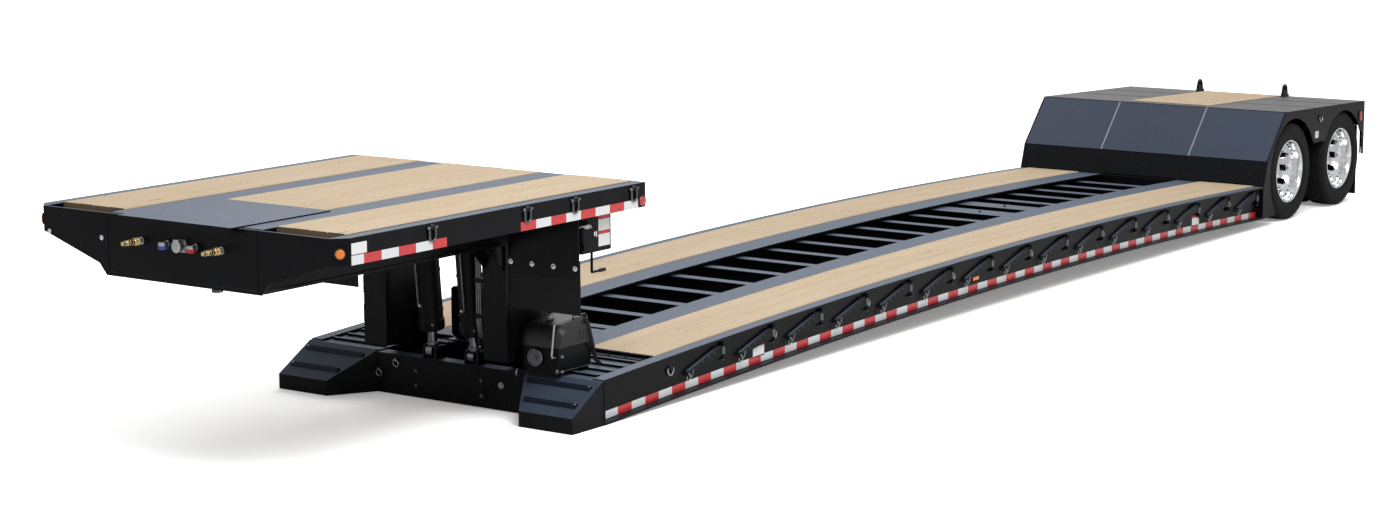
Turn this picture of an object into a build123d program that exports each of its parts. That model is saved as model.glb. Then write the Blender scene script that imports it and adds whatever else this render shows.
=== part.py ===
from build123d import *
import os
from math import atan2, cos, degrees, hypot, pi, sin

# Detachable gooseneck lowboy trailer.  Millimetres, +X forward, +Y left, +Z up.
# The origin is on the floor, midway along and across the trailer, couplers included.
# A "station" is a distance behind the front edge of the neck's deck.

# overall
LENGTH = 15000
WIDTH = 2591
HALF = WIDTH / 2

# well: the cambered low deck between the neck and the rear frame
WELL_FRONT = 2480
WELL_REAR = 12640
WELL_FRONT_Z = 303
WELL_REAR_Z = 392
CAMBER = 115
BEAM_DEPTH = 305
FLANGE_T = 14
RAIL_WEB_T = 10
RAIL_RECESS = 60
RAIL_FLANGE = 95
BEAM_Y = 525
BEAM_FLANGE = 240
BEAM_WEB_T = 12
BOARD_T = 45
BOARD_PROUD = 8
BOARD_GAP = 3
TRACK_FRONT = 3150
OPENING_FRONT = 3640

# crossmembers under the tracks
CROSS_FIRST = 3875
CROSS_PITCH = 440
CROSS_COUNT = 20
CROSS_FLANGE = 100
CROSS_DEPTH = 130
CROSS_DROP = 42
CROSS_T = 8
WEB_CLEARANCE = 2

# swing-out width brackets and tie-down rings along the well
BRACKET_FIRST = 3457
BRACKET_PITCH = 622.5
BRACKET_COUNT = 15
RING_FIRST = 3283
RING_PITCH = 2 * BRACKET_PITCH
RING_COUNT = 8
RING_R = 34
RING_BAR_R = 8
LONG_RING_R = 28
LONG_RING_SIDE = 54

# front ramps
RAMP_TIP = 2140
RAMP_TIP_Z = 105
RAMP_INNER_TIP = 856
RAMP_INNER = 662
RAMP_DROP = 28
BAR_HEIGHT = 18
BAR_WIDTH = 26

# coupling of neck and deck
HINGE_STATION = 2750
HINGE_Z = 215
HINGE_R = 38
RUNNING = 0.08
CROSSBOX_FRONT = 2440
CROSSBOX_T = 120
CROSSBOX_TOP = 280
SILL_FRONT = 2905
SILL_REAR = 3000
LUG_T = 14
LUG_GAP = 10

# neck
NECK_TOP = 1555
NECK_LENGTH = 2947
NECK_RAIL = 163
NECK_CHAMFER = 85
NECK_RIM = 98
NECK_RIM_FRONT = 150
NECK_BOTTOM = 1165
NECK_ARM_Y = 530
NECK_ARM_WIDTH = 200
NECK_FLANGE = 230
NECK_PLATE_T = 12
NECK_CROSS_TOP = 51
NECK_CROSS_BOTTOM = 150
COLUMN_FRONT = 2300
COLUMN_REAR = 2740
COLUMN_FOOT = 370
GUARD_REAR = 2860
FASCIA_T = 12
COUPLER_LENGTH = 160
COVER_HALF = 480
COVER_REAR = 800
COVER_LIP = 60
KINGPIN_STATION = 290
KINGPIN_NECK_R = 25.4
KINGPIN_HEAD_R = 35.7

# oil tank between the columns
TANK_FRONT = 2925
TANK_REAR = 3125
TANK_RIGHT = -385
TANK_LEFT = 60
TANK_BOTTOM = 348
TANK_TOP = 700
PLATE_GAP = 0.1

# lift cylinders between the neck and the front crossbox
LIFT_Y = 185
LIFT_TOP = (2420, 1300)
LIFT_FOOT = (2500, 335)
LIFT_PIN_R = 30
BARREL_R = 85
BARREL_LENGTH = 760
ROD_R = 36
EYE_SLACK = 6

# rear frame
KNEE_STATION = 12720
KNEE_Z = 625
SLOPE_TOP = 13110
REAR_FRONT_Z = 1053
REAR_END_Z = 990
DECK_PLATE_T = 10
REAR_BOARDS_HALF = 420
REAR_BOARDS_FRONT = 13250
REAR_BEAM_WIDTH = 150
REAR_BEAM_BOTTOM = 760
SKIRT_T = 12
SKIRT_BOTTOM = 690
FRONT_ARCH_R = 515
REAR_ARCH_R = 485
EAR_Y = 470
EAR_HOLE_R = 22
EAR_T = 25

# axles and wheels
AXLE_STATIONS = (13305, 14485)
TYRE_R = 466
TYRE_WIDTH = 255
RIM_R = 286
DUAL_Y = 991
DUAL_SPACING = 318
AXLE_R = 63.5
SPINDLE_R = 42
ARM_REACH = 330
DRUM_R = 208
NUT_COUNT = 10
NUT_CIRCLE_R = 142


def x_at(station):
    """X of a station measured back from the neck's front edge."""
    return (LENGTH - COUPLER_LENGTH) / 2 - station


def deck_z(station):
    """Height of the well's steel top, a shallow arch from end to end."""
    t = (station - WELL_FRONT) / (WELL_REAR - WELL_FRONT)
    return WELL_FRONT_Z + (WELL_REAR_Z - WELL_FRONT_Z) * t + CAMBER * 4 * t * (1 - t)


def rear_z(station):
    """Height of the rear deck's top, which falls gently to the back."""
    fall = (REAR_FRONT_Z - REAR_END_Z) / (LENGTH - SLOPE_TOP)
    return REAR_FRONT_Z - fall * (station - SLOPE_TOP)


def block(s0, s1, y0, y1, z0, z1):
    """A box between two stations, two sides and two heights."""
    centre = (x_at((s0 + s1) / 2), (y0 + y1) / 2, (z0 + z1) / 2)
    return Pos(*centre) * Box(abs(s1 - s0), abs(y1 - y0), abs(z1 - z0))


def side_face(outline, y):
    """A face in the plane across Y from (station, height) corners."""
    return make_face(Polyline([(x_at(s), y, z) for s, z in outline], close=True))


def side_plate(outline, y0, y1):
    """A plate with a side outline of (station, height) corners, from y0 to y1."""
    return extrude(side_face(outline, y0), amount=y1 - y0, dir=(0, 1, 0))


def end_plate(outline, s0, s1):
    """A plate with an end outline of (y, height) corners, from station s0 to s1."""
    face = make_face(Polyline([(x_at(s1), y, z) for y, z in outline], close=True))
    return extrude(face, amount=s1 - s0, dir=(1, 0, 0))


def plan_plate(outline, z0, z1):
    """A plate with a plan outline of (station, y) corners, from z0 to z1."""
    face = make_face(Polyline([(x_at(s), y, z0) for s, y in outline], close=True))
    return extrude(face, amount=z1 - z0, dir=(0, 0, 1))


def cross_bar(station, z, radius, y0, y1):
    """A round bar across the trailer."""
    centre = Pos(x_at(station), (y0 + y1) / 2, z)
    return centre * Rot(90, 0, 0) * Cylinder(radius, abs(y1 - y0))


def arched(s0, s1, top, bottom, y0, y1):
    """A member that follows the well's camber; top and bottom are drops below its steel top."""
    middle = (s0 + s1) / 2

    def point(station, drop):
        return (x_at(station), y0, deck_z(station) - drop)

    upper = ThreePointArc(point(s0, top), point(middle, top), point(s1, top))
    end = Line(point(s1, top), point(s1, bottom))
    lower = ThreePointArc(point(s1, bottom), point(middle, bottom), point(s0, bottom))
    start = Line(point(s0, bottom), point(s0, top))
    return extrude(make_face([upper, end, lower, start]), amount=y1 - y0, dir=(0, 1, 0))


def both_sides(shape):
    """The shape and its mirror image across the trailer's centre plane."""
    return [shape, mirror(shape, about=Plane.XZ)]


def joined(shapes):
    """One solid from shapes that touch or overlap."""
    first, *rest = shapes
    result = first
    for shape in rest:
        result = result + shape
    return result


def group(shapes):
    """Separate solids in one node."""
    solids = []
    for shape in shapes:
        solids.extend(shape.solids())
    return Compound(children=solids)


def cross_stations():
    return [CROSS_FIRST + i * CROSS_PITCH for i in range(CROSS_COUNT)]


def cross_outline(station, margin):
    """End outline corners of a crossmember's space, as stations and heights."""
    top = deck_z(station) - CROSS_DROP + margin
    half = CROSS_FLANGE / 2 + margin
    return station - half, station + half, top - CROSS_DEPTH - 2 * margin, top


# ---------------------------------------------------------------- well

def side_rail():
    """Left rail: a channel that opens outward, with its ends closed."""
    web_y = HALF - RAIL_RECESS
    inner = HALF - RAIL_FLANGE
    web = arched(WELL_FRONT, WELL_REAR, 2, BEAM_DEPTH - 2, web_y - RAIL_WEB_T, web_y)
    top = arched(WELL_FRONT, WELL_REAR, 0, FLANGE_T, inner, HALF)
    bottom = arched(WELL_FRONT, WELL_REAR, BEAM_DEPTH - FLANGE_T, BEAM_DEPTH, inner, HALF)
    cap = arched(WELL_FRONT, WELL_FRONT + 12, 1, BEAM_DEPTH - 1, inner, HALF)
    return joined([web, top, bottom, cap])


def main_beam():
    """Left main beam of the well, with slots that the crossmembers pass through."""
    half = BEAM_FLANGE / 2
    web = arched(SILL_REAR, WELL_REAR, 2, BEAM_DEPTH - 2, BEAM_Y - BEAM_WEB_T / 2, BEAM_Y + BEAM_WEB_T / 2)
    top = arched(SILL_REAR, WELL_REAR, 0, FLANGE_T, BEAM_Y - half, BEAM_Y + half)
    bottom = arched(SILL_REAR, WELL_REAR, BEAM_DEPTH - FLANGE_T, BEAM_DEPTH, BEAM_Y - half, BEAM_Y + half)
    beam = joined([web, top, bottom])
    for station in cross_stations():
        s0, s1, z0, z1 = cross_outline(station, WEB_CLEARANCE)
        beam = beam - block(s0, s1, BEAM_Y - 20, BEAM_Y + 20, z0, z1)
    return beam


def crossmember(station):
    """A small I-beam across the well, between the two side rails' webs."""
    s0, s1, z0, z1 = cross_outline(station, 0)
    reach = HALF - RAIL_RECESS - RAIL_WEB_T
    top = block(s0, s1, -reach, reach, z1 - CROSS_T, z1)
    bottom = block(s0, s1, -reach, reach, z0, z0 + CROSS_T)
    web = block(station - CROSS_T / 2, station + CROSS_T / 2, -reach, reach, z0, z1)
    return joined([top, bottom, web])


def planks(y0, y1, count, make):
    """Planks side by side from y0 to y1, each made by make(low y, high y)."""
    width = (y1 - y0 + BOARD_GAP) / count
    return [make(y0 + i * width, y0 + (i + 1) * width - BOARD_GAP) for i in range(count)]


def track_boards():
    inner = BEAM_Y + BEAM_FLANGE / 2 + 2
    outer = HALF - RAIL_FLANGE - 2

    def plank(y0, y1):
        return arched(TRACK_FRONT, WELL_REAR - 4, -BOARD_PROUD, BOARD_T - BOARD_PROUD, y0, y1)

    boards = planks(inner, outer, 3, plank)
    return boards + [mirror(board, about=Plane.XZ) for board in boards]


def front_plate():
    """Steel floor between the main beams, ahead of the open part of the well."""
    half = BEAM_Y - BEAM_FLANGE / 2 - 2
    return arched(SILL_FRONT, OPENING_FRONT, 0, 12, -half, half)


def ramp():
    """Left front ramp: a wedge, its flat top and bars across for grip."""
    top_front = WELL_FRONT - 20
    top_z = deck_z(WELL_FRONT) - RAMP_DROP
    wedge_side = [(RAMP_TIP, 0), (RAMP_TIP, RAMP_TIP_Z), (top_front, top_z + 20),
                  (WELL_FRONT - 6, top_z + 20),
                  (WELL_FRONT - 6, 0)]
    wedge = side_plate(wedge_side, RAMP_INNER, HALF)
    corner = [(RAMP_TIP - 10, RAMP_INNER - 10), (RAMP_TIP - 10, RAMP_INNER_TIP),
              (top_front, RAMP_INNER - 10)]
    wedge = wedge - plan_plate(corner, -10, 500)
    shelf_outer = HALF - RAIL_FLANGE - 4
    rear = TRACK_FRONT - 4
    shelf = side_plate([(WELL_FRONT - 20, top_z - 40), (WELL_FRONT - 20, top_z + 12),
                        (rear, deck_z(rear) - RAMP_DROP), (rear, deck_z(rear) - RAMP_DROP - 40)],
                       RAMP_INNER + 3, shelf_outer)
    body = wedge + shelf
    slope = atan2(top_z + 20 - RAMP_TIP_Z, top_front - RAMP_TIP)
    for part in (0.30, 0.78):
        station = RAMP_TIP + part * (top_front - RAMP_TIP)
        z = RAMP_TIP_Z + part * (top_z + 20 - RAMP_TIP_Z)
        inner = RAMP_INNER_TIP + part * (RAMP_INNER - RAMP_INNER_TIP) + 25
        bar = Box(BAR_WIDTH, HALF - 40 - inner, BAR_HEIGHT * 2)
        place = Pos(x_at(station), (inner + HALF - 40) / 2, z)
        body = body + place * Rot(0, -degrees(slope), 0) * bar
    for i in range(4):
        station = WELL_FRONT + 90 + i * 145
        z = top_z + 12 + (deck_z(rear) - RAMP_DROP - top_z - 12) * (station - top_front) / (rear - top_front)
        body = body + block(station, station + BAR_WIDTH, RAMP_INNER + 30, shelf_outer - 20, z - 10,
                            z + BAR_HEIGHT)
    return body


def lug_outline():
    """Side outline of a hinge lug: a foot along the floor and a round head."""
    return [(CROSSBOX_FRONT + CROSSBOX_T, 20), (SILL_FRONT, 20), (SILL_FRONT, 285),
            (HINGE_STATION + 95, 290),
            (HINGE_STATION + 60, 318), (HINGE_STATION - 60, 318), (HINGE_STATION - 95, 290),
            (CROSSBOX_FRONT + CROSSBOX_T, 150)]


def coupling():
    """Front crossbox, sill, floor and the lugs that carry the neck's hinge pins."""
    half_arm = NECK_ARM_WIDTH / 2 + LUG_GAP
    inner = NECK_ARM_Y - half_arm - LUG_T
    outer = NECK_ARM_Y + half_arm + LUG_T
    edge = outer + 4
    front = block(CROSSBOX_FRONT, CROSSBOX_FRONT + CROSSBOX_T, -edge, edge, 4, CROSSBOX_TOP)
    sill = block(SILL_FRONT, SILL_REAR, -edge, edge, 16, 300)
    floor = block(CROSSBOX_FRONT + CROSSBOX_T - 2, SILL_FRONT + 2, -edge, edge, 4, 20)
    pieces = [front, sill, floor]
    for side in (-1, 1):
        for y in (inner, outer - LUG_T):
            low, high = sorted((side * y, side * (y + LUG_T)))
            pieces.append(side_plate(lug_outline(), low, high))
        for offset in (-52, 52):
            y = side * LIFT_Y + offset
            foot = [(LIFT_FOOT[0] - 50, CROSSBOX_TOP - 2), (LIFT_FOOT[0] - 35, LIFT_FOOT[1] + 40),
                    (LIFT_FOOT[0] + 35, LIFT_FOOT[1] + 40), (LIFT_FOOT[0] + 50, CROSSBOX_TOP - 2)]
            pieces.append(side_plate(foot, y - 7, y + 7))
        low, high = sorted((side * (inner - 10), side * (outer + 3)))
        pieces.append(cross_bar(HINGE_STATION, HINGE_Z, HINGE_R, low, high))
        pieces.append(cross_bar(*LIFT_FOOT, LIFT_PIN_R, side * LIFT_Y - 66, side * LIFT_Y + 66))
    return joined(pieces)


def swing_bracket(station):
    """A folded swing-out bracket with its upright hinge, on the left rail."""
    face = HALF - RAIL_RECESS
    z = deck_z(station) - 190
    arm = side_plate([(station, z), (station, z + 28), (station + 380, z + 140), (station + 420, z + 140),
                      (station + 420, z + 60)], face + 8, face + 30)
    knuckle_z = deck_z(station + 420) - 100
    knuckle = Pos(x_at(station + 430), face + 18, knuckle_z) * Cylinder(17, 130)
    return arm + knuckle


def ring(station, z, face):
    """A D-shaped tie-down ring hanging from its clip on the left side."""
    x = x_at(station)
    y = face + RING_BAR_R + 1
    path_start = (x - RING_R, y, z)
    path_end = (x + RING_R, y, z)
    bow = ThreePointArc(path_start, (x, y, z - RING_R * 1.35), path_end)
    bar = sweep(Plane(origin=path_start, z_dir=bow % 0) * Circle(RING_BAR_R), path=bow)
    top = Pos(x, y, z) * Rot(0, 90, 0) * Cylinder(RING_BAR_R, 2 * RING_R + 2 * RING_BAR_R)
    clip = Pos(x, face + 9.6, z) * Box(36, 19, 30)
    return bar + top + clip


def well_rings():
    rings = [ring(RING_FIRST + i * RING_PITCH, deck_z(RING_FIRST + i * RING_PITCH) - 105, HALF - RAIL_RECESS)
             for i in range(RING_COUNT)]
    rings.append(ring((AXLE_STATIONS[0] + AXLE_STATIONS[1]) / 2 + 15, 935, HALF))
    return rings + [mirror(one, about=Plane.XZ) for one in rings]


def power_pack():
    """Hooded engine and pump box beside the left column, on the ramp's flat top."""
    y0, y1 = 672, 1000
    s0, s1 = 2400, 2740
    base = 330
    body = block(s0, s1, y0, y1, base, base + 210)
    hood = side_plate([(s0 - 40, base + 190), (s0 - 10, base + 300), (s1 - 40, base + 345),
                       (s1 + 12, base + 330),
                       (s1 + 12, base + 205), (s0 - 40, base + 150)], y0 - 10, y1 + 12)
    feet = [block(s, s + 60, y0 + 20, y1 - 20, base - 32, base + 2) for s in (s0 + 30, s1 - 130)]
    return [joined([body, hood] + feet), oil_tank()]


def plate_foot(s0, s1, y0, y1, top):
    """A foot that stands on the arched front plate."""
    return side_plate([(s0, deck_z(s0) + PLATE_GAP), (s1, deck_z(s1) + PLATE_GAP), (s1, top), (s0, top)],
                      y0, y1)


def oil_tank():
    """Oil tank and valve block of the power pack, on the front plate between the columns."""
    tank = block(TANK_FRONT, TANK_REAR, TANK_RIGHT, TANK_LEFT, TANK_BOTTOM, TANK_TOP)
    foot_rear = TANK_FRONT + 65
    feet = [plate_foot(TANK_FRONT + 10, foot_rear, y, y + 60, TANK_BOTTOM + 2)
            for y in (TANK_RIGHT + 25, TANK_LEFT - 85)]
    valves = block(TANK_FRONT, TANK_FRONT + 120, TANK_LEFT + 20, TANK_LEFT + 240, TANK_BOTTOM, 455)
    feet.append(plate_foot(TANK_FRONT + 15, foot_rear, TANK_LEFT + 90, TANK_LEFT + 170, TANK_BOTTOM + 2))
    link = block(TANK_FRONT + 25, foot_rear, TANK_LEFT - 10, TANK_LEFT + 30, 360, 420)
    filler = Pos(x_at(TANK_REAR - 65), TANK_RIGHT + 85, TANK_TOP + 15) * Cylinder(34, 34)
    return joined([tank, valves, link, filler] + feet)


# ---------------------------------------------------------------- neck

def arm_outline():
    """Side outline of a neck beam, its column and its foot."""
    return [(40, NECK_BOTTOM + 8), (40, NECK_TOP - 10), (NECK_LENGTH - 14, NECK_TOP - 10),
            (NECK_LENGTH - 14, NECK_TOP - NECK_RAIL), (COLUMN_REAR, NECK_BOTTOM), (COLUMN_REAR, 480),
            (HINGE_STATION + 88, 245), (HINGE_STATION + 62, 150), (HINGE_STATION - 50, 138),
            (HINGE_STATION - 110, 300), (HINGE_STATION - 190, COLUMN_FOOT - 20), (COLUMN_FRONT, COLUMN_FOOT),
            (COLUMN_FRONT, NECK_BOTTOM + 8)]


def neck_cross_stations():
    return [470, 940, 1410, 1880, 2350, 2820]


def neck_beam():
    """Left neck beam: a hollow box that turns down into the column and ends in the hinge eye."""
    y0 = NECK_ARM_Y - NECK_ARM_WIDTH / 2
    y1 = NECK_ARM_Y + NECK_ARM_WIDTH / 2
    outer = side_face(arm_outline(), y0)
    inner = offset(side_face(arm_outline(), y0 + NECK_PLATE_T), amount=-NECK_PLATE_T, kind=Kind.INTERSECTION)
    box = extrude(outer, amount=y1 - y0, dir=(0, 1, 0))
    hollow = extrude(inner, amount=y1 - y0 - 2 * NECK_PLATE_T, dir=(0, 1, 0))
    top = block(40, NECK_LENGTH - 14, NECK_ARM_Y - NECK_FLANGE / 2, NECK_ARM_Y + NECK_FLANGE / 2,
                NECK_TOP - 12, NECK_TOP)
    bottom = block(40, COLUMN_FRONT, NECK_ARM_Y - NECK_FLANGE / 2, NECK_ARM_Y + NECK_FLANGE / 2,
                   NECK_BOTTOM, NECK_BOTTOM + 14)
    eye = cross_bar(HINGE_STATION, HINGE_Z, HINGE_R + 34, y0, y1)
    bore = cross_bar(HINGE_STATION, HINGE_Z, HINGE_R + RUNNING, y0 - 5, y1 + 5)
    guard = side_plate([(COLUMN_REAR - 2, 500), (COLUMN_REAR + 60, 500), (GUARD_REAR, 640),
                        (GUARD_REAR, NECK_BOTTOM + 130), (COLUMN_REAR - 2, NECK_BOTTOM)],
                       y0, y0 + NECK_PLATE_T)
    beam = joined([box - hollow, top, bottom, eye, guard]) - bore
    for station in neck_cross_stations():
        beam = beam - neck_cross_space(station, WEB_CLEARANCE)
    return beam


def neck_cross_space(station, margin):
    """The straight space that a neck crossmember fills, with a margin all round."""
    half = 40 + margin
    return block(station - half, station + half, -HALF + 20, HALF - 20,
                 NECK_TOP - NECK_CROSS_BOTTOM - margin,
                 NECK_TOP - NECK_CROSS_TOP + margin)


def neck_crossmember(station):
    """A channel across the neck that opens to the rear."""
    reach = HALF - 14
    z0 = NECK_TOP - NECK_CROSS_BOTTOM
    z1 = NECK_TOP - NECK_CROSS_TOP
    full = block(station - 40, station + 40, -reach, reach, z0, z1)
    return full - block(station - 32, station + 50, -HALF, HALF, z0 + 8, z1 - 8)


def lift_shaft():
    """Shaft between the neck beams that carries the tops of the lift cylinders."""
    reach = NECK_ARM_Y - NECK_ARM_WIDTH / 2
    return cross_bar(*LIFT_TOP, LIFT_PIN_R, -reach, reach)


def neck_rail():
    """Left edge of the neck's deck, with its chamfered front corner."""
    z0 = NECK_TOP - NECK_RAIL
    plan = [(0, HALF - NECK_CHAMFER), (NECK_CHAMFER, HALF), (NECK_LENGTH, HALF), (NECK_LENGTH, HALF - 12),
            (NECK_CHAMFER + 5, HALF - 12), (12, HALF - NECK_CHAMFER - 5), (12, HALF - NECK_CHAMFER - 12),
            (0, HALF - NECK_CHAMFER - 12)]
    rear = NECK_LENGTH - 12
    inner = HALF - NECK_CHAMFER - 12
    lip = [(0, HALF - NECK_CHAMFER), (NECK_CHAMFER, HALF), (rear, HALF), (rear, HALF - NECK_RIM),
           (NECK_RIM_FRONT - 2, HALF - NECK_RIM), (NECK_RIM_FRONT - 2, inner), (0, inner)]
    wall = plan_plate(plan, z0, NECK_TOP)
    return joined([wall, plan_plate(lip, NECK_TOP - 10, NECK_TOP), plan_plate(lip, z0, z0 + 10)])


def fascia_outline():
    """Front outline of the neck: shallow wings and a deeper centre."""
    wing = HALF - NECK_CHAMFER - 13
    right = [(wing, NECK_TOP), (wing, NECK_TOP - NECK_RAIL), (720, 1237), (656, NECK_BOTTOM)]
    left = [(-y, z) for y, z in reversed(right)]
    return right + left


def fascia():
    """Front wall of the neck."""
    return end_plate(fascia_outline(), 0, FASCIA_T)


def neck_tail():
    """Rear wall of the neck's deck."""
    reach = HALF - 13
    wall = block(NECK_LENGTH - 12, NECK_LENGTH, -reach, reach, NECK_TOP - NECK_RAIL, NECK_TOP)
    return wall


def neck_boards():
    """Planks of the neck's deck: two outer strips and one between the beams."""
    z0 = NECK_TOP + BOARD_PROUD - 57
    z1 = NECK_TOP + BOARD_PROUD
    rear = NECK_LENGTH - 15

    def plank(front, y0, y1):
        return block(front, rear, y0, y1, z0, z1)

    side_inner = NECK_ARM_Y + NECK_FLANGE / 2 + 2
    outer = planks(side_inner, HALF - NECK_RIM - 2, 3, lambda a, b: plank(NECK_RIM_FRONT, a, b))
    half = NECK_ARM_Y - NECK_FLANGE / 2 - 2
    middle = planks(-half, half, 4, lambda a, b: plank(COVER_REAR + 4, a, b))
    return outer + [mirror(board, about=Plane.XZ) for board in outer] + middle


def neck_cover():
    """Steel plate over the front of the neck's centre, folded down at its front edge."""
    top = block(-COVER_LIP, COVER_REAR, -COVER_HALF, COVER_HALF, NECK_TOP, NECK_TOP + 8)
    lip = block(-COVER_LIP, -COVER_LIP + 8, -COVER_HALF, COVER_HALF, NECK_TOP - 36, NECK_TOP + 8)
    return top + lip


def kingpin_plate():
    """Coupler plate under the neck with its kingpin."""
    y = NECK_ARM_Y - NECK_FLANGE / 2 - 2
    plate = block(FASCIA_T + 2, 1050, -y, y, NECK_BOTTOM, NECK_BOTTOM + 14)
    x = x_at(KINGPIN_STATION)
    shoulder = Pos(x, 0, NECK_BOTTOM - 17) * Cylinder(KINGPIN_HEAD_R, 36)
    waist = Pos(x, 0, NECK_BOTTOM - 52) * Cylinder(KINGPIN_NECK_R, 36)
    head = Pos(x, 0, NECK_BOTTOM - 77) * Cylinder(KINGPIN_HEAD_R, 16)
    return joined([plate, shoulder, waist, head])


def cylinder_between(start, end, radius):
    """A round bar between two (station, y, z) points."""
    a = Vector(x_at(start[0]), start[1], start[2])
    b = Vector(x_at(end[0]), end[1], end[2])
    plane = Plane(origin=(a + b) / 2, z_dir=(b - a).normalized())
    return plane * Cylinder(radius, (b - a).length)


def valve_box():
    """Control box under the left rear of the neck's deck, with its hanging crank rod."""
    s0, s1 = 2390, 2700
    z0, z1 = 1135, NECK_TOP - NECK_RAIL - 2
    body = block(s0, s1, 800, 1195, z0, z1)
    rim = block(s0 - 6, s1 + 6, 794, 1201, z1 - 22, z1)
    rod = cylinder_between((2550, 1150, 995), (2550, 1150, z0 + 2), 9)
    foot = cylinder_between((2550, 1150, 995), (2690, 1150, 995), 9)
    return joined([body, rim, rod, foot])


def flap_hanger():
    """Steel plate ahead of the left column's outer side that a splash flap hangs from."""
    return block(2278, 2286, 668, 1256, 1050, NECK_TOP - NECK_RAIL - 2)


def splash_flap():
    """Rubber splash flap behind the tractor's left wheels."""
    return block(2286, 2296, 668, 1256, 752, 1110)


def connector(y, z, radii):
    """A turned fitting on the fascia: steps of (radius, length) from the wall forward."""
    station = 0
    steps = []
    for radius, length in radii:
        centre = Pos(x_at(station - length / 2), y, z)
        steps.append(centre * Rot(0, 90, 0) * Cylinder(radius, length))
        station -= length
    return joined(steps)


def connectors():
    """Hydraulic couplers, air couplings and the electrical socket on the fascia."""
    z = 1408
    hydraulic = [(17, 24), (24, 40), (19, 54), (15, 42)]
    air = [(16, 24), (30, 16), (34, 22)]
    socket = [(44, 14), (36, 46), (40, 8)]
    return [connector(-340, z, hydraulic), connector(340, z, hydraulic), connector(-115, z, air),
            connector(125, z, air), connector(10, z, socket)]


def long_ring(station, z, face):
    """An oblong tie-down ring that hangs from its clip over the tape on the left side."""
    x = x_at(station)
    y = face + RING_BAR_R + 1
    low = z - LONG_RING_SIDE
    bow = ThreePointArc((x - LONG_RING_R, y, low), (x, y, low - LONG_RING_R), (x + LONG_RING_R, y, low))
    bar = sweep(Plane(origin=(x - LONG_RING_R, y, low), z_dir=bow % 0) * Circle(RING_BAR_R), path=bow)
    top = Pos(x, y, z) * Rot(0, 90, 0) * Cylinder(RING_BAR_R, 2 * LONG_RING_R + 2 * RING_BAR_R)
    sides = [Pos(x + offset, y, (z + low) / 2) * Cylinder(RING_BAR_R, LONG_RING_SIDE)
             for offset in (-LONG_RING_R, LONG_RING_R)]
    clip = Pos(x, face + 9.6, z) * Box(30, 19, 28)
    return joined([bar, top, clip] + sides)


def neck_rings():
    rings = [long_ring(s, NECK_TOP - 28, HALF) for s in (800, 1706, 2190, 2812)]
    return rings + [mirror(one, about=Plane.XZ) for one in rings]


# ---------------------------------------------------------------- lift cylinders

def lift_axis():
    """Length of the cylinder between its pins and its lean from upright, towards the front."""
    ahead = LIFT_FOOT[0] - LIFT_TOP[0]
    up = LIFT_TOP[1] - LIFT_FOOT[1]
    return hypot(ahead, up), atan2(ahead, up)


def along_lift(distance, y):
    """A frame on the cylinder's axis, at a distance below its top pin, with +Z up the axis."""
    lean = lift_axis()[1]
    x = x_at(LIFT_TOP[0]) - distance * sin(lean)
    z = LIFT_TOP[1] - distance * cos(lean)
    return Pos(x, y, z) * Rot(0, degrees(lean), 0)


def lift_barrel(y):
    tube = along_lift(50 + BARREL_LENGTH / 2, y) * Cylinder(BARREL_R, BARREL_LENGTH)
    space = along_lift(64 + (BARREL_LENGTH - 34) / 2, y) * Cylinder(BARREL_R - 8, BARREL_LENGTH - 34)
    gland = along_lift(50 + BARREL_LENGTH, y) * Cylinder(ROD_R + 1, 80)
    eye = cross_bar(*LIFT_TOP, LIFT_PIN_R + 22, y - 28, y + 28)
    neck = along_lift(40, y) * Cylinder(30, 40)
    bore = cross_bar(*LIFT_TOP, LIFT_PIN_R + RUNNING, y - 60, y + 60)
    return joined([tube - space, eye, neck]) - gland - bore


def lift_rod(y):
    top = 240
    bottom = lift_axis()[0] - 30
    rod = along_lift((top + bottom) / 2, y) * Cylinder(ROD_R, bottom - top)
    eye = cross_bar(*LIFT_FOOT, LIFT_PIN_R + 24, y - 26, y + 26)
    bore = cross_bar(*LIFT_FOOT, LIFT_PIN_R + EYE_SLACK, y - 60, y + 60)
    return joined([rod, eye]) - bore


# ---------------------------------------------------------------- rear frame

def bulkhead():
    """Folded front wall of the rear frame on its full-width crossbox."""
    t = 12
    wall = [(WELL_REAR + 2, 385), (KNEE_STATION, KNEE_Z), (SLOPE_TOP, REAR_FRONT_Z),
            (SLOPE_TOP + 16, REAR_FRONT_Z),
            (SLOPE_TOP + 16, REAR_FRONT_Z - 14), (KNEE_STATION + t, KNEE_Z - 4), (WELL_REAR + 2 + t, 385)]
    reach = HALF - SKIRT_T - 1
    box = block(WELL_REAR + 2, KNEE_STATION + 40, -reach, reach, 88, 386)
    return side_plate(wall, -reach, reach) + box


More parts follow.
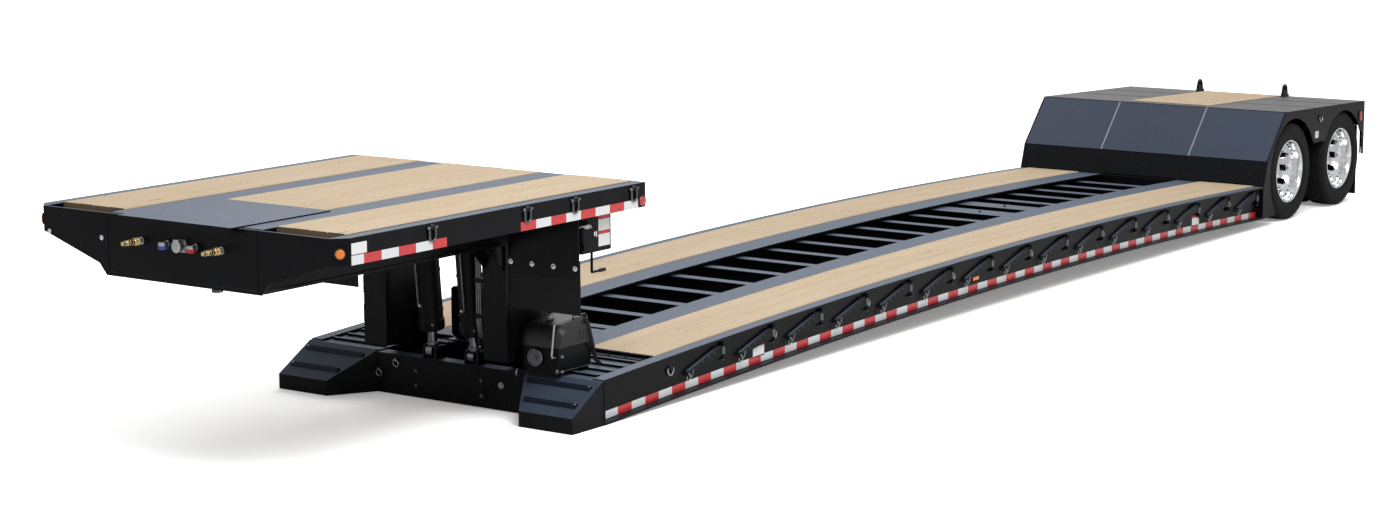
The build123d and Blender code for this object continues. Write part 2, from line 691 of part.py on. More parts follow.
def rear_frame():
    """Beams, crossmembers and tail of the frame over the axles."""
    pieces = []
    for side in (-1, 1):
        y = side * 530
        beam = side_plate([(KNEE_STATION + 42, REAR_BEAM_BOTTOM - 400), (KNEE_STATION + 42, KNEE_Z - 40),
                           (SLOPE_TOP, rear_z(SLOPE_TOP) - 52), (LENGTH - 42, rear_z(LENGTH - 42) - 52),
                           (LENGTH - 42, REAR_BEAM_BOTTOM), (KNEE_STATION + 215, REAR_BEAM_BOTTOM),
                           (KNEE_STATION + 120, KNEE_Z - 5), (KNEE_STATION + 80, REAR_BEAM_BOTTOM - 400)],
                          y - 7, y + 7)
        foot = block(KNEE_STATION + 215, LENGTH - 42, y - REAR_BEAM_WIDTH / 2, y + REAR_BEAM_WIDTH / 2,
                     REAR_BEAM_BOTTOM - 12, REAR_BEAM_BOTTOM + 3)
        pieces += [beam, foot]
    for station in (13180, 13600, 14200, 14700):
        top = rear_z(station) - 54
        pieces.append(block(station, station + 60, -640, 640, top - 110, top))
    middle = (AXLE_STATIONS[0] + AXLE_STATIONS[1]) / 2
    reach = HALF - SKIRT_T - 2
    top = rear_z(middle) - DECK_PLATE_T - 4
    pieces.append(block(middle - 40, middle + 40, -reach, reach, top - 120, top - 45))
    tail_top = rear_z(LENGTH - 20) - DECK_PLATE_T - 4
    pieces.append(block(LENGTH - 44, LENGTH - 30, -reach, reach, tail_top - 230, tail_top))
    return joined(pieces)


def slope_strip(s0, s1, above, below):
    """Side outline of a strip along the rear deck's slope, between two heights off its surface."""
    return [(s0, rear_z(s0) + above), (s1, rear_z(s1) + above), (s1, rear_z(s1) + below),
            (s0, rear_z(s0) + below)]


def fender():
    """Left steel deck over the wheels."""
    start = SLOPE_TOP + 18
    plate = side_plate(slope_strip(start, LENGTH, 0, -DECK_PLATE_T), REAR_BOARDS_HALF + 3, HALF)
    strip = slope_strip(start, REAR_BOARDS_FRONT - 4, 0, -DECK_PLATE_T)
    plate = plate + side_plate(strip, 0.5, REAR_BOARDS_HALF + 4)
    return plate - block(LENGTH - 31, LENGTH + 5, EAR_Y - EAR_T / 2 - 1, EAR_Y + EAR_T / 2 + 1, 900, 1100)


def rear_boards():
    s0 = REAR_BOARDS_FRONT
    s1 = LENGTH - 46

    def plank(y0, y1):
        return side_plate(slope_strip(s0, s1, 6, -46), y0, y1)

    return planks(-REAR_BOARDS_HALF, REAR_BOARDS_HALF, 5, plank)


def skirt():
    """Left side wall of the rear frame with an arch over each pair of wheels."""
    drop = DECK_PLATE_T + 1
    outline = [(WELL_REAR + 2, 90), (WELL_REAR + 2, 385), (KNEE_STATION, KNEE_Z),
               (SLOPE_TOP + 4, REAR_FRONT_Z - 2),
               (SLOPE_TOP + 17, REAR_FRONT_Z - 2), (SLOPE_TOP + 17, rear_z(SLOPE_TOP) - drop),
               (LENGTH, rear_z(LENGTH) - drop), (LENGTH, 460), (LENGTH - 60, 460),
               (LENGTH - 60, SKIRT_BOTTOM),
               (AXLE_STATIONS[0], SKIRT_BOTTOM), (AXLE_STATIONS[0], 466), (12900, 90)]
    plate = side_plate(outline, HALF - SKIRT_T, HALF)
    plate = plate - cross_bar(AXLE_STATIONS[0], TYRE_R, FRONT_ARCH_R, HALF - 40, HALF + 20)
    return plate - cross_bar(AXLE_STATIONS[1], TYRE_R, REAR_ARCH_R, HALF - 40, HALF + 20)


def booster_ear(y):
    """Lifting ear with its pin hole, at the tail."""
    top = rear_z(LENGTH - 80)
    outline = [(LENGTH - 28, top - 200), (LENGTH - 28, top + 20), (LENGTH - 48, top + 100),
               (LENGTH - 80, top + 128),
               (LENGTH - 112, top + 112), (LENGTH - 150, top + 8), (LENGTH - 150, top + 3),
               (LENGTH - 29.5, top + 3),
               (LENGTH - 29.5, top - 200)]
    plate = side_plate(outline, y - EAR_T / 2, y + EAR_T / 2)
    tail = block(LENGTH - 29.5, LENGTH - 4, y - EAR_T / 2, y + EAR_T / 2, top - 200, top + 20)
    hole = cross_bar(LENGTH - 82, top + 78, EAR_HOLE_R, y - EAR_T, y + EAR_T)
    return joined([plate, tail]) - hole


def mud_flap():
    return block(LENGTH - 10, LENGTH, 700, 1225, 50, 735)


# ---------------------------------------------------------------- axles and wheels

def axle(station):
    """Axle tube, its two spindles, brake chambers and spring seats."""
    tube = cross_bar(station, TYRE_R, AXLE_R, -660, 660)
    spindle = cross_bar(station, TYRE_R, SPINDLE_R, -DUAL_Y - 90, DUAL_Y + 90)
    pieces = [tube, spindle]
    for side in (-1, 1):
        low, high = sorted((side * 640, side * 655))
        pieces.append(cross_bar(station, TYRE_R, 150, low, high))
        chamber = Pos(x_at(station + 175), side * 360, TYRE_R + 10) * Rot(0, 90, 0) * Cylinder(78, 150)
        bracket = block(station + 40, station + 110, side * 360 - 30, side * 360 + 30, TYRE_R - 30,
                        TYRE_R + 40)
        pieces += [chamber, bracket]
    return joined(pieces)


def trailing_arm(station, side):
    """Hanger, trailing arm and seat of one side of one axle."""
    y = side * 530
    s0 = station - ARM_REACH
    hanger = side_plate([(s0 - 45, REAR_BEAM_BOTTOM - 13), (s0 + 90, REAR_BEAM_BOTTOM - 13), (s0 + 60, 400),
                         (s0 - 50, 400)], y - 60, y + 60)
    arm = side_plate([(s0 - 30, 440), (s0 - 30, 520), (station + 120, 575), (station + 340, 520),
                      (station + 340, 470), (station + 120, 380), (station - 120, 360)], y - 45, y + 45)
    slot = side_plate([(s0 - 90, 380), (s0 + 110, 380), (s0 + 110, 560), (s0 - 90, 560)], y - 47, y + 47)
    pivot = cross_bar(s0, 470, 30, y - 60, y + 60)
    tube = cross_bar(station, TYRE_R, AXLE_R + 0.5, y - 80, y + 80)
    return joined([hanger - slot, arm, pivot]) - tube


def air_spring(station, side):
    """Rubber air spring between an arm's tail and the frame."""
    y = side * 530
    top = REAR_BEAM_BOTTOM - 13
    waist = (top + 522) / 2
    height = top - 522
    body = Pos(x_at(station + 230), y, waist) * Cylinder(105, height)
    lower = Pos(x_at(station + 230), y, waist - height / 4) * Torus(100, 32)
    upper = Pos(x_at(station + 230), y, waist + height / 4) * Torus(100, 32)
    arm_top = side_plate([(station + 80, 588), (station + 400, 508), (station + 400, 400),
                          (station + 80, 400)],
                         y - 200, y + 200)
    return joined([body, lower, upper]) - arm_top


def air_tank():
    middle = (AXLE_STATIONS[0] + AXLE_STATIONS[1]) / 2
    return cross_bar(middle, 600, 110, -380, 380)


def tyre(station, y):
    """A tyre with rounded shoulders and bulging walls."""
    half = TYRE_WIDTH / 2
    tread = half - 22
    x = x_at(station)
    crown = TYRE_R
    bead = RIM_R + 2
    points = [(bead, tread - 16), (bead + 14, tread - 10), (RIM_R + 60, half - 3), (RIM_R + 95, half),
              (crown - 40, half - 8), (crown - 8, tread)]
    right = [(x, y + b, TYRE_R + a) for a, b in points]
    left = [(x, y - b, TYRE_R + a) for a, b in reversed(points)]
    wall_right = Spline(*right)
    over = ThreePointArc(right[-1], (x, y, TYRE_R + crown), left[0])
    wall_left = Spline(*left)
    close = Line(left[-1], right[0])
    face = make_face([wall_right, over, wall_left, close])
    axis = Axis((x, y, TYRE_R), (0, 1, 0))
    return revolve(face, axis=axis)


def wheel_disc(station, side):
    """Both rims of a dual wheel, their discs, hub and brake drum, as one turning piece."""
    x = x_at(station)
    inner_y = DUAL_Y - DUAL_SPACING / 2
    outer_y = DUAL_Y + DUAL_SPACING / 2
    pieces = []
    for y, toward in ((inner_y, 1), (outer_y, -1)):
        band = cross_bar(station, TYRE_R, RIM_R, y - 106, y + 106)
        well = cross_bar(station, TYRE_R, RIM_R - 14, y - 107, y + 107)
        lips = []
        for edge in (-1, 1):
            lip = cross_bar(station, TYRE_R, RIM_R + 14, y + edge * 106 - 5, y + edge * 106 + 5)
            lips.append(lip - cross_bar(station, TYRE_R, RIM_R - 14, y - 130, y + 130))
        pieces += [band - well] + lips
        face_y = DUAL_Y - toward * 10
        low, high = sorted((face_y - toward * 10, face_y + toward * 10))
        disc = cross_bar(station, TYRE_R, 175, low, high)
        dish = cone_wall(station, 175, RIM_R - 8, face_y, y + toward * 52)
        pieces += [disc, dish]
    hub = cross_bar(station, TYRE_R, 72, DUAL_Y - 150, DUAL_Y + 118)
    cap = cross_bar(station, TYRE_R, 60, DUAL_Y + 110, DUAL_Y + 150)
    drum = cross_bar(station, TYRE_R, DRUM_R, DUAL_Y - 300, DUAL_Y - 30)
    hollow = cross_bar(station, TYRE_R, DRUM_R - 16, DUAL_Y - 310, DUAL_Y - 60)
    hub = hub + cap + (drum - hollow)
    for i in range(NUT_COUNT):
        turn = i * 2 * pi / NUT_COUNT
        place = Pos(x + NUT_CIRCLE_R * sin(turn), DUAL_Y + 30, TYRE_R + NUT_CIRCLE_R * cos(turn))
        hub = hub + place * Rot(90, 0, 0) * Cylinder(15, 36)
    wheel = joined(pieces + [hub]) - cross_bar(station, TYRE_R, SPINDLE_R + 3, DUAL_Y - 320, DUAL_Y + 100)
    for i in range(10):
        turn = (i + 0.5) * 2 * pi / 10
        hand = Pos(x + 215 * sin(turn), DUAL_Y, TYRE_R + 215 * cos(turn)) * Rot(90, 0, 0) * Cylinder(27, 190)
        wheel = wheel - hand
    if side < 0:
        return mirror(wheel, about=Plane.XZ)
    return wheel


def cone_wall(station, r0, r1, y0, y1):
    """A thin conical dish between two radii and two sides."""
    x = x_at(station)
    t = 12 if y1 > y0 else -12
    corners = [(x, y0 - t * 0.8, TYRE_R + r0 - 8), (x, y1, TYRE_R + r1 - 2), (x, y1 + t, TYRE_R + r1 - 2),
               (x, y0 + t * 0.8, TYRE_R + r0 - 8)]
    face = make_face(Polyline(corners, close=True))
    return revolve(face, axis=Axis((x, 0, TYRE_R), (0, 1, 0)))


# ---------------------------------------------------------------- nodes

def build():
    nodes = {
        "side_rails": group(both_sides(side_rail())),
        "main_beams": group(both_sides(main_beam())),
        "well_crossmembers": group([crossmember(s) for s in cross_stations()]),
        "front_plate": front_plate(),
        "front_ramps": group(both_sides(ramp())),
        "neck_coupling": coupling(),
        "swing_brackets": group([one for i in range(BRACKET_COUNT)
                                 for one in both_sides(swing_bracket(BRACKET_FIRST + i * BRACKET_PITCH))]),
        "tie_rings_deck": group(well_rings()),
        "power_pack": group(power_pack()),
        "bulkhead": bulkhead(),
        "rear_frame": rear_frame(),
        "fender_decks": group(both_sides(fender())),
        "deck_boards": group(track_boards() + rear_boards()),
        "skirts": group(both_sides(skirt())),
        "booster_ears": group([booster_ear(EAR_Y), booster_ear(-EAR_Y)]),
        "mud_flaps": group(both_sides(mud_flap())),
        "axles": group([axle(s) for s in AXLE_STATIONS]),
        "trailing_arms": group([trailing_arm(s, side) for s in AXLE_STATIONS for side in (-1, 1)]),
        "air_springs": group([air_spring(s, side) for s in AXLE_STATIONS for side in (-1, 1)]),
        "air_tank": air_tank(),
        "neck_beams": group(both_sides(neck_beam())),
        "neck_crossmembers": group([neck_crossmember(s) for s in neck_cross_stations()]),
        "lift_shaft": lift_shaft(),
        "neck_rails": group(both_sides(neck_rail())),
        "neck_end_walls": group([fascia(), neck_tail()]),
        "neck_boards": group(neck_boards()),
        "neck_cover": neck_cover(),
        "kingpin_plate": kingpin_plate(),
        "valve_box": valve_box(),
        "flap_hangers": group(both_sides(flap_hanger())),
        "splash_flaps": group(both_sides(splash_flap())),
        "front_connectors": group(connectors()),
        "tie_rings_neck": group(neck_rings()),
        "lift_barrel_left": lift_barrel(LIFT_Y),
        "lift_barrel_right": lift_barrel(-LIFT_Y),
        "lift_rod_left": lift_rod(LIFT_Y),
        "lift_rod_right": lift_rod(-LIFT_Y),
    }
    for end, station in zip(("front", "rear"), AXLE_STATIONS):
        for name, side in (("left", 1), ("right", -1)):
            ys = (DUAL_Y - DUAL_SPACING / 2, DUAL_Y + DUAL_SPACING / 2)
            nodes[f"tyres_{end}_{name}"] = group([tyre(station, side * y) for y in ys])
            nodes[f"wheel_{end}_{name}"] = wheel_disc(station, side)
    return nodes


def main():
    os.makedirs("parts", exist_ok=True)
    for name, shape in build().items():
        export_step(shape, f"parts/{name}.step")


main()
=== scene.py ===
import bpy
import bmesh
import random
from math import copysign, cos, hypot, pi, radians, sin
from mathutils import Matrix, Vector


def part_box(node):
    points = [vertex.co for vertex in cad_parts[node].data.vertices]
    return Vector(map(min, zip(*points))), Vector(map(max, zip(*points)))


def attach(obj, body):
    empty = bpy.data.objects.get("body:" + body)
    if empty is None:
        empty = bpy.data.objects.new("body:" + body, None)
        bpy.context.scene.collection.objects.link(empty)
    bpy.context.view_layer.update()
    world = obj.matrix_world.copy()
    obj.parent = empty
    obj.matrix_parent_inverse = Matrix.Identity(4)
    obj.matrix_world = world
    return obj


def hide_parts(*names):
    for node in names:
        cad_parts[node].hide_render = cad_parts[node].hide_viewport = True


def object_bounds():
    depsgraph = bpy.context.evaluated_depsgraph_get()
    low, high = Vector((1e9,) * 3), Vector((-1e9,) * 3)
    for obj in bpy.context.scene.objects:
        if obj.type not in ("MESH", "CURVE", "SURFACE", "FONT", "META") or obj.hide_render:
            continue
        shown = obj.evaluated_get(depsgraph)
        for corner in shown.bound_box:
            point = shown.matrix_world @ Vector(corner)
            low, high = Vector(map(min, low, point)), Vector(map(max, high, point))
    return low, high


# Gooseneck lowboy trailer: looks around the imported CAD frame.  Metres, +X forward, +Y left, +Z up.
# A station s is a distance behind the neck's front edge, as in the CAD.

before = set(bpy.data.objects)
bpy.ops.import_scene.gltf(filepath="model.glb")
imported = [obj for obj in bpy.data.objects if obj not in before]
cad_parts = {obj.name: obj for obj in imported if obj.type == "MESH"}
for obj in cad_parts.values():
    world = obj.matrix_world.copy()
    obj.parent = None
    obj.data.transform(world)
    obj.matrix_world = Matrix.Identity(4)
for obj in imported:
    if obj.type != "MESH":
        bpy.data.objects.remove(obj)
CAD_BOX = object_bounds()
scene = bpy.context.scene
rng = random.Random(11)

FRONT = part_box("neck_rails")[1].x
NECK_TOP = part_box("neck_rails")[1].z
NECK_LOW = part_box("neck_rails")[0].z
NECK_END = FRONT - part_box("neck_rails")[0].x
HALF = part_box("side_rails")[1].y
WELL_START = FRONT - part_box("side_rails")[1].x
WELL_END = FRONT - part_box("side_rails")[0].x
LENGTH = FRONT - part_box("fender_decks")[0].x

WELL_FRONT_Z = 0.303
WELL_REAR_Z = 0.392
CAMBER = 0.115
BEAM_DEPTH = 0.305
FLANGE_T = 0.014
RAIL_RECESS = 0.060
BOARD_PROUD = 0.008
TRACK_FRONT = 3.150
TRACK_INNER = 0.647
TRACK_OUTER = HALF - 0.097
CROSS_FIRST = 3.875
CROSS_PITCH = 0.440
CROSS_COUNT = 20
BRACKET_FIRST = 3.457
BRACKET_PITCH = 0.6225
BRACKET_COUNT = 15
RING_FIRST = 3.283
RING_COUNT = 8
SLOPE_TOP = 13.110
REAR_FRONT_Z = 1.053
REAR_END_Z = 0.990
KNEE = (12.720, 0.625)
AXLES = (13.305, 14.485)
TYRE_R = 0.466
RIM_R = 0.286
DUAL_Y = 0.991
DUAL_SPACING = 0.318
CHAMFER = 0.085
NECK_RIM = 0.098
NECK_RIM_FRONT = 0.150
BLOCK = 0.1524
SHEET = 0.0012
HINGE = (2.750, 0.215)
COLUMN_FRONT = 2.300
LIFT_TOP = (2.420, 1.300)
LIFT_FOOT = (2.500, 0.335)
LIFT_R = 0.085
LIFT_Y = 0.185
BEAM_INNER = 0.517
ARM_Y = 0.530
EAR_Y = 0.470
FITTING_Z = 1.408
FLAP_EDGES = (0.668, 1.256)
MUD_FLAP_EDGES = (0.700, 1.225)
NECK_BEND_S = (0.470, 0.940, 1.410, 1.880, 2.350, 2.820)


UP = (0, 0, 1)
AHEAD = (1, 0, 0)
BACK = (-1, 0, 0)
SIDES = (1, -1)
NAMED_SIDES = (("left", 1), ("right", -1))


def angles(count):
    """Equal steps round a circle, in radians."""
    return [2 * pi * k / count for k in range(count)]


def across(side, near, far):
    """Two distances from the centreline as a low and a high y, on side 1 or -1."""
    return sorted((side * near, side * far))


def deck_z(s):
    """Steel top of the cambered well."""
    t = (s - WELL_START) / (WELL_END - WELL_START)
    return WELL_FRONT_Z + (WELL_REAR_Z - WELL_FRONT_Z) * t + CAMBER * 4 * t * (1 - t)


def rear_z(s):
    """Steel top of the rear deck."""
    return REAR_FRONT_Z - (REAR_FRONT_Z - REAR_END_Z) * (s - SLOPE_TOP) / (LENGTH - SLOPE_TOP)


# ---------------------------------------------------------------- materials

class Nodes:
    """A material's node tree, with short calls for the nodes used here."""

    def __init__(self, name, **settings):
        self.material = bpy.data.materials.new(name)
        self.material.use_nodes = True
        self.tree = self.material.node_tree
        self.tree.nodes.clear()
        self.out = self.node("OutputMaterial")
        self.shader = self.node("BsdfPrincipled")
        self.link(self.shader.outputs[0], self.out.inputs[0])
        for key, value in settings.items():
            self.shader.inputs[key.replace("_", " ")].default_value = value
        self.coords = self.node("TexCoord")

    def node(self, kind):
        return self.tree.nodes.new("ShaderNode" + kind)

    def link(self, a, b):
        self.tree.links.new(a, b)

    def put(self, target, value):
        """Links a socket, or sets a plain value."""
        if isinstance(value, bpy.types.NodeSocket):
            self.link(value, target)
        else:
            target.default_value = value

    def place(self, scale=(1, 1, 1), turn=(0, 0, 0), seed=False):
        """Object coordinates, scaled and turned, shifted by the mesh's own seed where asked."""
        vector = self.coords.outputs["Object"]
        if seed:
            attribute = self.node("Attribute")
            attribute.attribute_name = "seed"
            shift = self.node("VectorMath")
            shift.operation = "MULTIPLY_ADD"
            self.link(attribute.outputs["Fac"], shift.inputs[0])
            shift.inputs[1].default_value = (37.0, 19.0, 7.3)
            self.link(vector, shift.inputs[2])
            vector = shift.outputs[0]
        mapping = self.node("Mapping")
        mapping.inputs["Rotation"].default_value = turn
        mapping.inputs["Scale"].default_value = scale
        self.link(vector, mapping.inputs["Vector"])
        return mapping.outputs[0]

    def noise(self, vector, scale, detail=3.0, rough=0.55, distort=0.0):
        node = self.node("TexNoise")
        self.link(vector, node.inputs["Vector"])
        for key, value in (("Scale", scale), ("Detail", detail), ("Roughness", rough),
                ("Distortion", distort)):
            node.inputs[key].default_value = value
        return node.outputs["Fac"]

    def cells(self, vector, scale):
        node = self.node("TexVoronoi")
        self.link(vector, node.inputs["Vector"])
        node.inputs["Scale"].default_value = scale
        return node.outputs["Distance"]

    def wave(self, vector, scale, distort=0.0, axis="X", detail=2.0, detail_scale=1.0):
        node = self.node("TexWave")
        node.bands_direction = axis
        self.link(vector, node.inputs["Vector"])
        for key, value in (("Scale", scale), ("Distortion", distort), ("Detail", detail),
                ("Detail Scale", detail_scale)):
            node.inputs[key].default_value = value
        return node.outputs["Fac"]

    def band(self, value, low, high, to_low=0.0, to_high=1.0):
        """Maps low..high to to_low..to_high, and clamps."""
        node = self.node("MapRange")
        self.put(node.inputs["Value"], value)
        for key, number in (("From Min", low), ("From Max", high), ("To Min", to_low), ("To Max", to_high)):
            node.inputs[key].default_value = number
        return node.outputs[0]

    def math(self, kind, a, b=0.0):
        node = self.node("Math")
        node.operation = kind
        self.put(node.inputs[0], a)
        self.put(node.inputs[1], b)
        return node.outputs[0]

    def mix(self, factor, a, b, kind="MIX"):
        node = self.node("Mix")
        node.data_type = "RGBA"
        node.blend_type = kind
        self.put(node.inputs[0], factor)
        for socket, value in ((node.inputs[6], a), (node.inputs[7], b)):
            self.put(socket, value if isinstance(value, bpy.types.NodeSocket) else (*value, 1.0))
        return node.outputs[2]

    def up(self):
        """How far a face looks up, from -1 to 1, in the piece's own frame."""
        split = self.node("SeparateXYZ")
        self.link(self.coords.outputs["Normal"], split.inputs[0])
        return split.outputs["Z"]

    def bump(self, height, distance, strength=1.0, below=None):
        node = self.node("Bump")
        node.inputs["Strength"].default_value = strength
        node.inputs["Distance"].default_value = distance
        self.link(height, node.inputs["Height"])
        if below is not None:
            self.link(below, node.inputs["Normal"])
        return node.outputs[0]

    def finish(self, colour, roughness=None, normal=None):
        self.put(self.shader.inputs["Base Color"], colour)
        if roughness is not None:
            self.put(self.shader.inputs["Roughness"], roughness)
        if normal is not None:
            self.link(normal, self.shader.inputs["Normal"])
        return self.material


def paint(name="black_paint", side=(0.0042, 0.0045, 0.0056), slope_reflection=(0.020, 0.028, 0.052),
          top=(0.120, 0.150, 0.205), gloss=0.22):
    """Gloss black enamel with sprayed ripple, dust specks and road grime, and painted reflection that turns
    it paler and bluer the more a face looks up; the top colour is partly dust, partly painted reflection.
    """
    n = Nodes(name, Specular_IOR_Level=0.10)
    body = n.place()
    patches = n.noise(body, 1.7, 4.0, 0.6)
    specks = n.noise(body, 55.0, 4.0, 0.7)
    streaks = n.noise(n.place((9.0, 9.0, 0.8)), 4.0, 3.0)
    up = n.up()
    # Painted reflection: the colour goes from the side colour to the slope colour as a face turns up,
    # standing for the surroundings mirrored in the enamel.
    colour = n.mix(n.band(up, 0.30, 0.72), side, slope_reflection)
    # On faces that look up, the top colour comes in patches: partly dust, partly painted reflection of the
    # sky.
    dust_and_reflection = n.math("MULTIPLY", n.band(up, 0.78, 0.99), n.band(patches, 0.25, 0.75, 0.82, 1.0))
    colour = n.mix(dust_and_reflection, colour, top)
    film = n.math("MULTIPLY", n.band(specks, 0.52, 0.75, 0.0, 0.4), n.band(up, 0.1, 0.8, 0.03, 0.55))
    colour = n.mix(film, colour, (0.16, 0.17, 0.19))
    road = n.math("MULTIPLY", n.band(streaks, 0.55, 0.8, 0.0, 0.07), n.band(up, 0.5, 0.1))
    colour = n.mix(road, colour, (0.06, 0.055, 0.05))
    rough = n.math("ADD", n.band(patches, 0.3, 0.7, gloss, gloss + 0.08), n.band(up, 0.6, 1.0, 0.0, 0.16))
    rough = n.math("ADD", rough, n.band(specks, 0.45, 0.8, 0.0, 0.10))
    ripple = n.bump(n.noise(body, 5.0, 1.0), 0.004, 0.25)
    peel = n.bump(n.noise(body, 420.0, 2.0), 0.00025, 0.35, ripple)
    return n.finish(colour, rough, peel)


def oak():
    """Sawn oak: long grain, soft rings, a few dark knots, saw marks and grey weathering."""
    n = Nodes("oak_deck", Specular_IOR_Level=0.30)
    fine = n.noise(n.place((1.2, 90.0, 40.0), seed=True), 3.0, 5.0, 0.6)
    rings = n.wave(n.place((0.35, 9.0, 6.0), seed=True), 2.2, 7.0, "Y", 3.0, 1.4)
    broad = n.noise(n.place((0.7, 5.0, 3.0), seed=True), 1.3, 4.0, 0.6)
    colour = n.mix(n.band(rings, 0.2, 0.9), (0.640, 0.500, 0.335), (0.545, 0.405, 0.250))
    colour = n.mix(n.band(fine, 0.42, 0.75, 0.0, 0.42), colour, (0.385, 0.262, 0.148))
    colour = n.mix(n.band(broad, 0.35, 0.75, 0.0, 0.50), colour, (0.700, 0.580, 0.425))
    seed = n.node("Attribute")
    seed.attribute_name = "seed"
    plank = n.math("FRACT", n.math("MULTIPLY", seed.outputs["Fac"], 7.31))
    colour = n.mix(n.band(plank, 0.0, 1.0, 0.0, 0.22), colour, (0.520, 0.390, 0.265))
    knots = n.cells(n.place((0.55, 3.4, 1.5), seed=True), 1.6)
    knot = n.band(knots, 0.030, 0.075, 0.65, 0.0)
    colour = n.mix(knot, colour, (0.150, 0.088, 0.045))
    stain = n.noise(n.place((0.9, 2.6, 2.0)), 2.6, 5.0, 0.65)
    colour = n.mix(n.band(stain, 0.60, 0.80, 0.0, 0.28), colour, (0.300, 0.235, 0.175))
    end = n.node("SeparateXYZ")
    n.link(n.coords.outputs["Normal"], end.inputs[0])
    cut = n.band(n.math("ABSOLUTE", end.outputs["X"]), 0.75, 0.95, 0.0, 0.75)
    colour = n.mix(cut, colour, (0.120, 0.075, 0.045))
    saw = n.wave(n.place((1.0, 0.12, 0.12), seed=True), 26.0, 1.2, "X", 1.0)
    rough = n.band(fine, 0.3, 0.8, 0.58, 0.82)
    grain = n.bump(fine, 0.0014, 0.5)
    marks = n.bump(saw, 0.0007, 0.16, grain)
    return n.finish(colour, rough, marks)


def rubber(name="rubber_black", colour=(0.014, 0.014, 0.015), pale=(0.034, 0.034, 0.035), rough=0.62):
    """Moulded rubber with a faint dusty bloom."""
    n = Nodes(name, Specular_IOR_Level=0.16)
    bloom = n.noise(n.place(), 6.0, 4.0, 0.6)
    grain = n.noise(n.place(), 300.0, 3.0, 0.6)
    shade = n.mix(n.band(bloom, 0.35, 0.75), colour, pale)
    dust = n.math("MULTIPLY", n.band(n.up(), 0.2, 1.0, 0.0, 0.25), n.band(bloom, 0.3, 0.7))
    shade = n.mix(dust, shade, (0.10, 0.095, 0.085))
    return n.finish(shade, n.band(grain, 0.3, 0.7, rough - 0.06, rough + 0.12), n.bump(grain, 0.0003, 0.4))


def tyre_rubber():
    """Tyre rubber: matt walls with fine turning lines and a worn, paler tread."""
    n = Nodes("tyre_rubber", Specular_IOR_Level=0.16)
    bloom = n.noise(n.place(), 9.0, 4.0, 0.6)
    grain = n.noise(n.place(), 260.0, 3.0, 0.6)
    shade = n.mix(n.band(bloom, 0.3, 0.75), (0.0070, 0.0070, 0.0075), (0.0130, 0.0128, 0.0126))
    scuffs = n.noise(n.place((1, 4, 1)), 22.0, 5.0, 0.7)
    shade = n.mix(n.band(scuffs, 0.62, 0.8, 0.0, 0.30), shade, (0.052, 0.048, 0.043))
    return n.finish(shade, n.band(grain, 0.3, 0.7, 0.60, 0.78), n.bump(grain, 0.0004, 0.45))


def metal(name, colour, rough, dark=0.75, grain=(1, 1, 1), scale=180.0, bump=0.00012, stain=0.25):
    """Bare metal: a fine finish, slight tarnish and a few darker stains."""
    n = Nodes(name, Metallic=1.0)
    fine = n.noise(n.place(grain), scale, 3.0, 0.6)
    cloud = n.noise(n.place(), 14.0, 4.0, 0.65)
    deep = tuple(dark * c for c in colour)
    shade = n.mix(n.band(cloud, 0.3, 0.75), colour, deep)
    shade = n.mix(n.band(cloud, 0.62, 0.85, 0.0, stain), shade, tuple(0.45 * c for c in colour))
    spread = n.band(fine, 0.3, 0.7, rough * 0.75, rough * 1.35)
    return n.finish(shade, spread, n.bump(fine, bump, 0.4))


def tape(name, colour, line):
    """Retro-reflective sheet with its fine diamond cells."""
    n = Nodes(name, Specular_IOR_Level=0.55, Coat_Weight=0.35, Coat_Roughness=0.06)
    a = n.wave(n.place((1, 1, 1), (0, radians(38), 0)), 42.0, 0.0, "X")
    b = n.wave(n.place((1, 1, 1), (0, radians(-38), 0)), 42.0, 0.0, "X")
    cell = n.math("MAXIMUM", a, b)
    shade = n.mix(n.band(cell, 0.86, 1.0, 0.0, 0.55), colour, line)
    grime = n.noise(n.place((3, 3, 9)), 8.0, 4.0, 0.6)
    shade = n.mix(n.band(grime, 0.60, 0.85, 0.0, 0.22), shade, (0.30, 0.28, 0.26))
    return n.finish(shade, n.band(grime, 0.3, 0.8, 0.22, 0.45), n.bump(cell, 0.0002, 0.3))


def lens(name, colour, deep):
    """Moulded lamp lens with its ribs."""
    n = Nodes(name, Specular_IOR_Level=0.6, Coat_Weight=0.8, Coat_Roughness=0.04)
    ribs = n.wave(n.place(), 70.0, 0.0, "Z")
    cells = n.cells(n.place(), 190.0)
    shade = n.mix(n.band(ribs, 0.2, 0.9, 0.0, 0.55), colour, deep)
    return n.finish(shade, n.band(cells, 0.0, 0.5, 0.12, 0.26), n.bump(ribs, 0.0008, 0.5))


def plastic(name, colour, rough=0.45, fleck=0.15):
    """Moulded plastic or enamel in one colour, with a light grain and handling marks."""
    n = Nodes(name, Specular_IOR_Level=0.5)
    grain = n.noise(n.place(), 240.0, 3.0)
    cloud = n.noise(n.place(), 12.0, 4.0, 0.6)
    shade = n.mix(n.band(cloud, 0.35, 0.8, 0.0, fleck), colour, tuple(0.5 * c for c in colour))
    return n.finish(shade, n.band(grain, 0.3, 0.7, rough - 0.05, rough + 0.1), n.bump(grain, 0.0002, 0.3))


